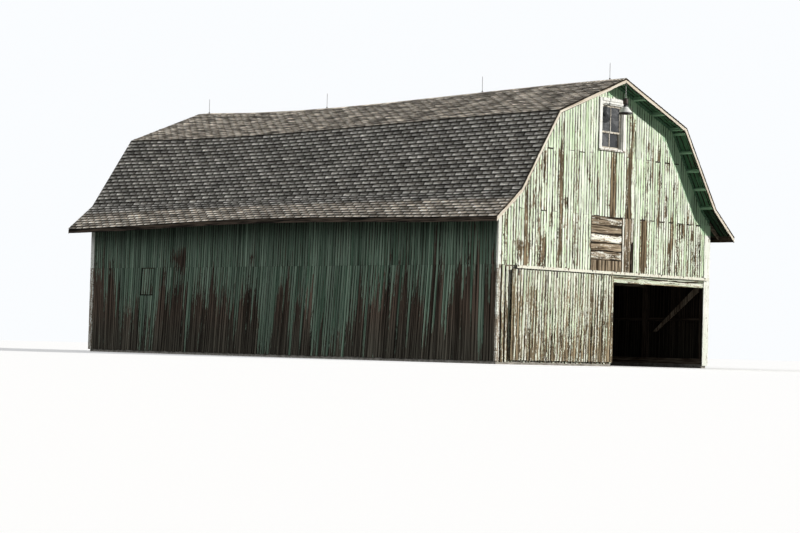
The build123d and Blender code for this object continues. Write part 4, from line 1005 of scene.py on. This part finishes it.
lay_gable("front_gable_boards", front_put, FRONT_STREAKS + FRONT_WHOLE, front_base, ["front_gable"],
          (WINDOW_HOLE, HAY_HOLE), FRONT_STOPS)
lay_gable("rear_gable_boards", rear_put, REAR_STREAKS, rear_base, ["rear_gable"], (), (-WALL_X, WALL_X))


# Open slits near the left corner, and the joint between the two header boards
SLITS, SLIT_WIDTH = (-4.085, -3.94), 0.026
HEADER_JOINT = 2.264
FRONT_BOARD, RIGHT_STRIP_BOARD, REAR_BOARD = 0.115, 0.11, 0.15
FRONT_GAPS, FRONT_BARENESS, REAR_LUCK = (0.004, 0.012), (0.26, 0.46), 0.12


def lay_front_wall():
    """Fixed boards left of the doorway, the header over it and a strip right of it."""
    layer = Layer("front_wall_boards")
    for x0, x1 in pairs(uneven_edges(-WALL_X, DOORWAY_LEFT, FRONT_BOARD, 0.12, SLITS)):
        gap = rng.uniform(*FRONT_GAPS)
        left, right = x0 + gap / 2, x1 - gap / 2
        if any(abs(x1 - slit) < 0.01 for slit in SLITS):
            right -= SLIT_WIDTH
        bias = rng.uniform(*FRONT_BARENESS)
        lay_board(layer, front_put, left, right, SIDING_FOOT, BELT - 0.004 - rng.uniform(0, 0.03),
                  lambda s, up: bias + 0.12 * smooth(up, 2.0, 1.2), ragged=0.02, sunk=0.005)
    for x0, x1 in pairs(uneven_edges(DOORWAY_RIGHT, WALL_X, RIGHT_STRIP_BOARD, 0.1)):
        lay_board(layer, front_put, x0 + 0.002, x1 - 0.002, SIDING_FOOT, BELT - 0.003, 0.4, ragged=0.01)
    for z0, z1 in ((DOORWAY_TOP, HEADER_JOINT - 0.002), (HEADER_JOINT + 0.002, BELT - 0.002)):
        lay_board(layer, lying_put(), z0, z1, DOORWAY_LEFT + 0.002, DOORWAY_RIGHT - 0.002, 0.42, rise=0.5)
    layer.finish(door_paint, "gable_paint", "barn", ["front_wall"])


def lay_rear_wall():
    layer = Layer("rear_wall_boards")
    for x0, x1 in pairs(uneven_edges(-WALL_X, WALL_X, REAR_BOARD, 0.15)):
        gap = rng.uniform(*GABLE_GAPS)
        bias = rng.gauss(0.0, REAR_LUCK)
        lay_board(layer, rear_put, x0 + gap / 2, x1 - gap / 2, SIDING_FOOT, BELT - 0.003,
                  lambda s, up: 0.62 + bias - 0.16 * smooth(up, 0.6, 2.2), ragged=0.015)
    layer.finish(gable_paint, "gable_paint", "barn", ["rear_wall"])


lay_front_wall()
lay_rear_wall()


# Height down to which the paint of the left wall still holds, by distance from the front
PAINT_FEET = (
    (0.0, 3.0), (0.28, 2.8), (0.38, 0.6), (0.60, 0.5), (0.66, 3.0), (0.84, 2.9), (0.92, 1.6), (1.02, 2.6),
    (1.40, 2.4), (1.50, 1.1), (1.74, 1.1), (1.82, 2.9), (2.02, 2.8), (2.12, 1.3), (2.30, 1.2), (2.45, 2.0),
    (2.9, 1.5), (3.3, 1.9), (4.3, 1.85), (4.7, 1.6), (5.1, 0.4), (6.1, 0.3), (6.45, 1.9), (6.8, 1.2),
    (7.3, 2.1), (7.6, 1.9), (7.75, 0.4), (8.15, 0.4), (8.4, 1.8), (9.2, 1.7), (10.2, 1.75), (10.9, 1.9),
    (11.2, 1.0), (11.5, 2.2), (11.95, 2.1), (12.3, 1.5), (12.8, 1.0), (14.1, 1.1), (14.6, 2.1), (15.0, 2.4),
    (15.7, 2.5),
)
FOOT_DISTANCES, FOOT_HEIGHTS = zip(*PAINT_FEET)
# Bare patches of the side walls: distance from the front, up, half width, half height, how much
SIDE_PATCHES = (
    (11.75, 2.66, 0.42, 0.30, 0.50), (8.75, 2.60, 0.16, 0.18, 0.34), (3.6, 2.70, 0.12, 0.10, 0.25),
)
OPEN_SEAMS, OPEN_SEAM_WIDTH = (12.40, 11.32), 0.018
SIDE_BOARD, SIDE_BEAD_GAP, SIDE_GAPS = 0.187, 0.002, (0.003, 0.006)
SIDE_TONES, SIDE_STRIP_TONES = (0.84, 1.14), (0.72, 1.22)
# How much the height at which the paint ends differs between boards and between strips
BOARD_END_LUCK, STRIP_END_LUCK = 0.14, 0.30
LEAN, TIER_STEP, UPPER_TIER = 0.17, 0.035, 1.43
RIGHT_LEAN_SHARE = 0.3


def lean_shift(y, up):
    """The lower boards lean with their tops to the front, less near the ends of the wall."""
    if up > BELT:
        near_end = smooth(y, -WALL_Y, -WALL_Y + 2) * smooth(y, WALL_Y, WALL_Y - 2)
        return TIER_STEP * (1 - (up - BELT) / UPPER_TIER) * near_end
    ease = smooth(y, -WALL_Y + 0.1, -WALL_Y + 2.4) * smooth(y, WALL_Y - 0.1, WALL_Y - 3.0)
    return TIER_STEP + (LEAN * ease) * (1 - up / BELT) - TIER_STEP * (1 - ease)


def side_put(side):
    def put(s, depth, up):
        shift = lean_shift(s, up) * (1.0 if side < 0 else RIGHT_LEAN_SHARE)
        y = min(max(s + shift, -INNER_Y + 0.001), INNER_Y - 0.001)
        return side * (WALL_X - depth), y, up
    return put


def lay_side(side, name, replaced):
    """Two tiers of boards under the eave, each with a bead along its middle. The left wall has a hatch."""
    layer = Layer(name)
    put = side_put(side)
    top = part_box("left_wall")[1].z
    marks = (HATCH_FRONT, HATCH_REAR) if side < 0 else ()
    for y0, middle, y1 in strips(even_edges(sorted((-INNER_Y, INNER_Y) + marks), SIDE_BOARD)):
        distance = middle + WALL_Y if side < 0 else WALL_Y - middle
        gap = rng.uniform(*SIDE_GAPS)
        if any(abs(distance - seam) < 0.1 for seam in OPEN_SEAMS):
            gap = OPEN_SEAM_WIDTH
        board_end = between(FOOT_DISTANCES, FOOT_HEIGHTS, distance) + rng.gauss(0.0, BOARD_END_LUCK)
        board_tone = rng.uniform(*SIDE_TONES)
        bead_low, bead_high = middle - SIDE_BEAD_GAP / 2, middle + SIDE_BEAD_GAP / 2
        for left, right in ((y0 + gap / 2, bead_low), (bead_high, y1 - gap / 2)):
            paint_end = board_end + rng.gauss(0.0, STRIP_END_LUCK)
            # A few strips keep their paint far down, and a few lose it higher up
            luck = rng.random()
            if luck < 0.10:
                paint_end -= rng.uniform(0.5, 1.4)
            elif luck < 0.18:
                paint_end += rng.uniform(0.2, 0.6)
            tone = board_tone * rng.uniform(*SIDE_STRIP_TONES)
            bias = rng.gauss(0.0, STRIP_LUCK)
            centre = distance + ((left + right) / 2 - middle) * -side

            def worn(s, up):
                bare = 0.12 + bias + 0.33 * smooth(up, paint_end + 0.9, paint_end - 0.1)
                bare += 0.33 * smooth(up, paint_end + 0.1, paint_end - 1.0)
                for across, height, half_width, half_height, much in SIDE_PATCHES:
                    near = nearness(centre, across, half_width, 0.6, 1.1)
                    bare += much * near * nearness(up, height, half_height, 0.5, 1.2)
                return min(bare, 1.0)

            over_hatch = side < 0 and HATCH_FRONT < (left + right) / 2 < HATCH_REAR
            low_head = HATCH_SILL if over_hatch else BELT - 0.003
            lay_board(layer, put, left, right, SIDING_FOOT, low_head, worn, tone, ragged=0.010, rise=0.25)
            lay_board(layer, put, left, right, BELT, top - 0.001, worn, tone, rise=0.25)
    layer.finish(side_paint, "side_paint", "barn", replaced)


lay_side(-1, "left_wall_boards", ["left_wall"])
lay_side(1, "right_wall_boards", ["right_wall"])


HATCH_EDGE, HATCH_BOARD, HATCH_FRONT_PLAY, HATCH_REAR_PLAY = 0.028, 0.094, 0.010, 0.035


def lay_hatch():
    """The hatch's own boards, in the hole that the left wall leaves for them."""
    layer = Layer("hatch_boards")
    low, high = HATCH_SILL + HATCH_EDGE, BELT - HATCH_EDGE
    front, rear = HATCH_FRONT + HATCH_FRONT_PLAY, HATCH_REAR - HATCH_REAR_PLAY
    for y0, y1 in pairs(uneven_edges(front, rear, HATCH_BOARD, 0.05)):
        lay_board(layer, side_put(-1), y0 + 0.002, y1 - 0.002, low, high,
                  lambda s, up: 0.30 + 0.2 * smooth(up, 2.0, 1.6), 1.1, ragged=0.003)
    layer.finish(side_paint, "side_paint", "barn", ["side_hatch"])


lay_hatch()


# Hay door
PLANK_FOOT, PLANK_END = 2.69, 0.500
# How bare each lying plank is, from the lowest up
PLANK_WEAR = (0.55, 0.68, 0.42, 0.70, 0.57)
GAPING_PLANK, WIDE_GAP = 3, 0.016
# The standing strips: left, right and how bare, and how far they stand out and how thick they are
STRIPS = ((PLANK_END + 0.010, 0.570, 0.30), (0.574, 0.64, 0.60))
STRIP_STAND_OUT, STRIP_THICKNESS = 0.020, 0.045
# Edges of the two whole boards right of them, and the third one, whose slanting foot is broken off
RIGHT_EDGES = (0.644, 0.757, 0.870)
BROKEN_LEFT, BROKEN_FOOT, BROKEN_FOOT_X, BROKEN_SLOPE = 0.873, 3.18, 0.93, 0.9


def lay_hay_door():
    """Lying planks over short upright ones, two standing strips beside them and three boards on the right."""
    layer = Layer("hay_door_planks")
    foot, top = BELT + 0.004, LOW_SEAM - 0.003
    step = (top - PLANK_FOOT) / len(PLANK_WEAR)
    for k, bare in enumerate(PLANK_WEAR):
        z0, z1 = PLANK_FOOT + step * k + 0.004, PLANK_FOOT + step * (k + 1) - 0.006
        if k == GAPING_PLANK:
            z1 -= WIDE_GAP
        tilt = rng.uniform(-0.006, 0.003)
        lay_board(layer, lying_put(tilt), z0, z1, HAY_LEFT + 0.004 + rng.uniform(0, 0.02),
                  PLANK_END - rng.uniform(0.002, 0.02), bare, rise=0.2, sunk=0.004, ragged=0.004)
    for x0, x1 in pairs(uneven_edges(HAY_LEFT + 0.003, PLANK_END, 0.14, 0.2)):
        lay_board(layer, front_put, x0 + 0.004, x1 - 0.004, foot, PLANK_FOOT - 0.006 - rng.uniform(0, 0.01),
                  rng.uniform(0.72, 0.98), sunk=0.006, ragged=0.002)
    for left, right, bare in STRIPS:
        lay_board(layer, upright_put(-1, STRIP_STAND_OUT), left, right, foot, top, bare,
                  thickness=STRIP_THICKNESS)
    for x0, x1 in pairs(RIGHT_EDGES):
        lay_board(layer, front_put, x0 + 0.002, x1 - 0.002, foot, top, rng.uniform(0.58, 0.68), 0.95)
    lay_board(layer, front_put, BROKEN_LEFT, HAY_RIGHT - 0.004,
              lambda s: BROKEN_FOOT + (s - BROKEN_FOOT_X) * BROKEN_SLOPE, top, 0.5)
    layer.finish(bare_wood, "bare_board", "barn", ["hay_door_boards"])


lay_hay_door()


# Sliding door
DOOR_LEAN = 0.045
DOOR_BOARD, DOOR_BOARD_THICKNESS = 0.103, 0.0248
DOOR_GAPS, DOOR_LUCK = (0.002, 0.006), 0.045


def lay_door():
    """Boards that lean a little with their feet to the left, but not at the ends of the door."""
    layer = Layer("door_planks")

    def put(s, depth, up):
        lean = DOOR_LEAN * (1 - (up - DOOR_LOW.z) / (DOOR_HIGH.z - DOOR_LOW.z))
        lean *= smooth(s, DOOR_LOW.x, DOOR_LOW.x + 0.5)
        lean *= smooth(s, DOOR_HIGH.x, DOOR_HIGH.x - 0.5)
        return s - lean, DOOR_LOW.y + depth, up

    for x0, x1 in pairs(uneven_edges(DOOR_LOW.x, DOOR_HIGH.x, DOOR_BOARD, 0.10)):
        gap = rng.uniform(*DOOR_GAPS)
        bias = rng.gauss(0.0, DOOR_LUCK)
        share = (x0 - DOOR_LOW.x) / (DOOR_HIGH.x - DOOR_LOW.x)

        def worn(s, up):
            ends = 0.46 + bias + 0.14 * smooth(share, 0.12, 0.02) + 0.07 * smooth(share, 0.55, 0.9)
            return ends + 0.09 * smooth(up, 1.3, 0.3) - 0.08 * smooth(up, 1.6, 2.2)

        lay_board(layer, put, x0 + gap / 2, x1 - gap / 2, DOOR_LOW.z + rng.uniform(0, 0.010), DOOR_HIGH.z,
                  worn, rise=0.35, thickness=DOOR_BOARD_THICKNESS)
    layer.finish(door_paint, "gable_paint", "sliding_door", ["door_boards"])


lay_door()


# Trim
RAKE_LOWER_EDGE, RAKE_BARENESS = 0.120, (0.22, 0.4)


def lay_rake_boards():
    """Rake boards on both gables, one length a slope, mitred at the breaks."""
    layer = Layer("rake_planks")
    for end in (-1, 1):
        for side in (-1, 1):
            for slope, (top, low) in SLOPES.items():
                x0, _, cos, sin, length = slope_numbers(slope)

                def put(s, depth, up):
                    x, _, z = roof_point(slope, side, up, FRAMES[0], s)
                    return x, end * (OVERHANG_END - depth), z

                def corner_run(name, s):
                    if name == "eave":
                        return length - EAVE_DRIP / cos + s * sin / cos
                    return (mitre(name, s) - x0 + sin * s) / cos

                lay_board(layer, put, ROOF_BOARD_DEPTH, RAKE_LOWER_EDGE,
                          lambda s: corner_run(top, s) + 0.001, lambda s: corner_run(low, s) - 0.001,
                          rng.uniform(*RAKE_BARENESS), 1.0, rise=0.5, sunk=0.0)
    layer.finish(cream_paint, "rake_paint", "barn", ["rake_boards"])


lay_rake_boards()


def dress(names, material):
    """Give carried-over pieces their material."""
    for name in names:
        data = nodes[name].data
        data.materials.clear()
        data.materials.append(material)


dress(["corner_boards"], corner_paint)
dress(["window_frame"], trim_paint)
dress(["window_sashes"], sash_paint)
dress(["window_glass"], glass)
dress(["footing"], concrete)
dress(["corner_braces", "rafters", "rafter_ties"], upright_wood)
dress(["posts", "gable_framing"], dark_timber)
dress(["wall_girts", "inner_frame"], dark_rail)
dress(["sills", "wall_plates", "upper_purlins", "lower_purlins"], lengthwise_wood)
dress(["loft_beams", "loft_floor", "sprockets", "door_ledges"], crosswise_wood)
dress(["lookouts"], green_lookout)
dress(["friezes"], green_frieze)
dress(["door_track"], pale_steel)
dress(["track_brackets", "lightning_rods", "door_trolleys", "door_pull"], dark_iron)
dress(["lamp_arm"], arm_steel)
dress(["eave_fascias"], dark_fascia)


# Lamp. The profiles are radii and heights over the lowest edge of the shade
LAMP_LOW, LAMP_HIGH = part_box("lamp_shade")
SHADE_SIDES, HOLDER_SIDES = 40, 32
RIM_HEIGHT, CAP_HEIGHT = 0.040, 0.186
SHADE_OUTSIDE = (
    (0.0395, 0.2395), (0.054, 0.237), (0.056, 0.200), (0.064, 0.182), (0.118, 0.118), (0.156, 0.056),
    (0.164, 0.042), (0.169, 0.026), (0.1718, 0.020), (0.1718, 0.003),
)
SHADE_INSIDE = (
    (0.166, 0.002), (0.160, 0.020), (0.148, 0.050), (0.110, 0.110), (0.056, 0.172), (0.0395, 0.180),
)
HOLDER = (
    (0.0395, 0.402), (0.050, 0.400), (0.064, 0.382), (0.067, 0.372), (0.067, 0.262), (0.058, 0.246),
    (0.0395, 0.244),
)


def spin(name, profile, count, *materials):
    """A closed profile of radii and heights, spun round the upright axis of the lamp."""
    x, y = (LAMP_LOW.x + LAMP_HIGH.x) / 2, (LAMP_LOW.y + LAMP_HIGH.y) / 2
    points, faces = [], []
    for radius, up in profile:
        for k in range(count):
            angle = 2 * math.pi * k / count
            points.append((x + radius * math.cos(angle), y + radius * math.sin(angle), LAMP_LOW.z + up))
    for ring in range(len(profile)):
        for k in range(count):
            a, b = ring * count, (ring + 1) % len(profile) * count
            faces.append((a + k, b + k, b + (k + 1) % count, a + (k + 1) % count))
    mesh = bpy.data.meshes.new(name)
    mesh.from_pydata(points, [], faces)
    for material in materials:
        mesh.materials.append(material)
    return add_piece(name, mesh)


def lay_shade():
    """A thin spun shade: a cap on the socket, a cone and a rolled rim, hollow from below."""
    enamel = shade_enamel(LAMP_LOW.z + RIM_HEIGHT, LAMP_LOW.z + CAP_HEIGHT)
    piece = spin("spun_shade", SHADE_OUTSIDE + SHADE_INSIDE, SHADE_SIDES, enamel, dark_iron)
    outside = (len(SHADE_OUTSIDE) - 1) * SHADE_SIDES
    for face in piece.data.polygons:
        face.use_smooth = True
        # The inside faces take dark iron, painted dark as the shade inside the lamp shade
        face.material_index = 0 if face.index < outside else 1
    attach(piece, "barn")
    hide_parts("lamp_shade")


def lay_lamp_holder():
    """The dark holder round the foot of the arm, over the shade."""
    piece = spin("lamp_holder", HOLDER, HOLDER_SIDES, dark_iron)
    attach(piece, "barn")


lay_shade()
lay_lamp_holder()


# Stage, light and camera
FLOOR_HALF = 400.0
FLOOR_SEEN, FLOOR_UNSEEN, FLOOR_GLOW = (0.93, 0.93, 0.93), (0.30, 0.30, 0.29), 0.24
SKY, SKY_SEEN, SKY_UNSEEN = (0.96, 0.98, 1.0), 1.0, 0.23
# Name, strength, spread in degrees, colour, and the way that the light goes
SUNS = (
    ("key", 3.8, 0.6, (1.0, 0.97, 0.92), (-0.69, 1.0, -0.41)),
    ("fill", 1.0, 60.0, (0.97, 0.98, 1.0), (0.85, -0.55, -0.85)),
)
CAMERA_PLACE, CAMERA_LENS = (-43.747, -42.817, 0.289), 99.03
CAMERA_YAW, CAMERA_PITCH, CAMERA_ROLL = 45.927, 2.160, 1.512


def set_floor():
    """A pale floor that looks even to the camera and throws little light on the barn."""
    mesh = bpy.data.meshes.new("floor")
    corners = [(x * FLOOR_HALF, y * FLOOR_HALF, 0) for x, y in ((-1, -1), (1, -1), (1, 1), (-1, 1))]
    mesh.from_pydata(corners, [], [(0, 1, 2, 3)])
    floor = add_piece("floor", mesh)
    tree = Surface("pale floor")
    seen = tree.add("LightPath").outputs["Is Camera Ray"]
    tree.set("Base Color", tree.blend(seen, FLOOR_UNSEEN, FLOOR_SEEN))
    tree.set("Emission Color", (1.0, 1.0, 1.0))
    tree.set("Emission Strength", tree.times(seen, FLOOR_GLOW))
    tree.set("Roughness", 1.0)
    tree.set("Specular IOR Level", 0.0)
    mesh.materials.append(tree.material)


def set_light():
    world = bpy.data.worlds.new("soft studio")
    bpy.context.scene.world = world
    world.use_nodes = True
    tree = Tree(world.node_tree)
    background = world.node_tree.nodes["Background"]
    path = tree.add("LightPath").outputs
    seen = tree.math("MAXIMUM", path["Is Camera Ray"], path["Is Glossy Ray"])
    seen = tree.math("MAXIMUM", seen, path["Is Transmission Ray"])
    tree.plug(background.inputs["Color"], SKY)
    tree.plug(background.inputs["Strength"], tree.lerp(seen, SKY_UNSEEN, SKY_SEEN))
    for name, energy, spread, color, direction in SUNS:
        data = bpy.data.lights.new(name, "SUN")
        data.energy = energy
        data.angle = math.radians(spread)
        data.color = color
        add_piece(name, data).rotation_euler = Vector(direction).to_track_quat("-Z", "Y").to_euler()


def set_camera():
    """Camera at the photo's viewpoint: low, far off and to the front left."""
    yaw, pitch, roll = (math.radians(angle) for angle in (CAMERA_YAW, CAMERA_PITCH, CAMERA_ROLL))
    ahead = Vector((math.sin(yaw) * math.cos(pitch), math.cos(yaw) * math.cos(pitch), math.sin(pitch)))
    side = Vector((math.cos(yaw), -math.sin(yaw), 0.0))
    up = side.cross(ahead)
    right = math.cos(roll) * side + math.sin(roll) * up
    above = math.cos(roll) * up - math.sin(roll) * side
    data = bpy.data.cameras.new("camera")
    data.sensor_width = 36.0
    data.lens = CAMERA_LENS
    data.clip_end = 1000.0
    camera = add_piece("camera", data)
    turn = Matrix((right, above, -ahead)).transposed().to_4x4()
    camera.matrix_world = Matrix.Translation(CAMERA_PLACE) @ turn
    bpy.context.scene.camera = camera


set_floor()
set_light()
set_camera()
bpy.context.scene.view_settings.view_transform = "Standard"
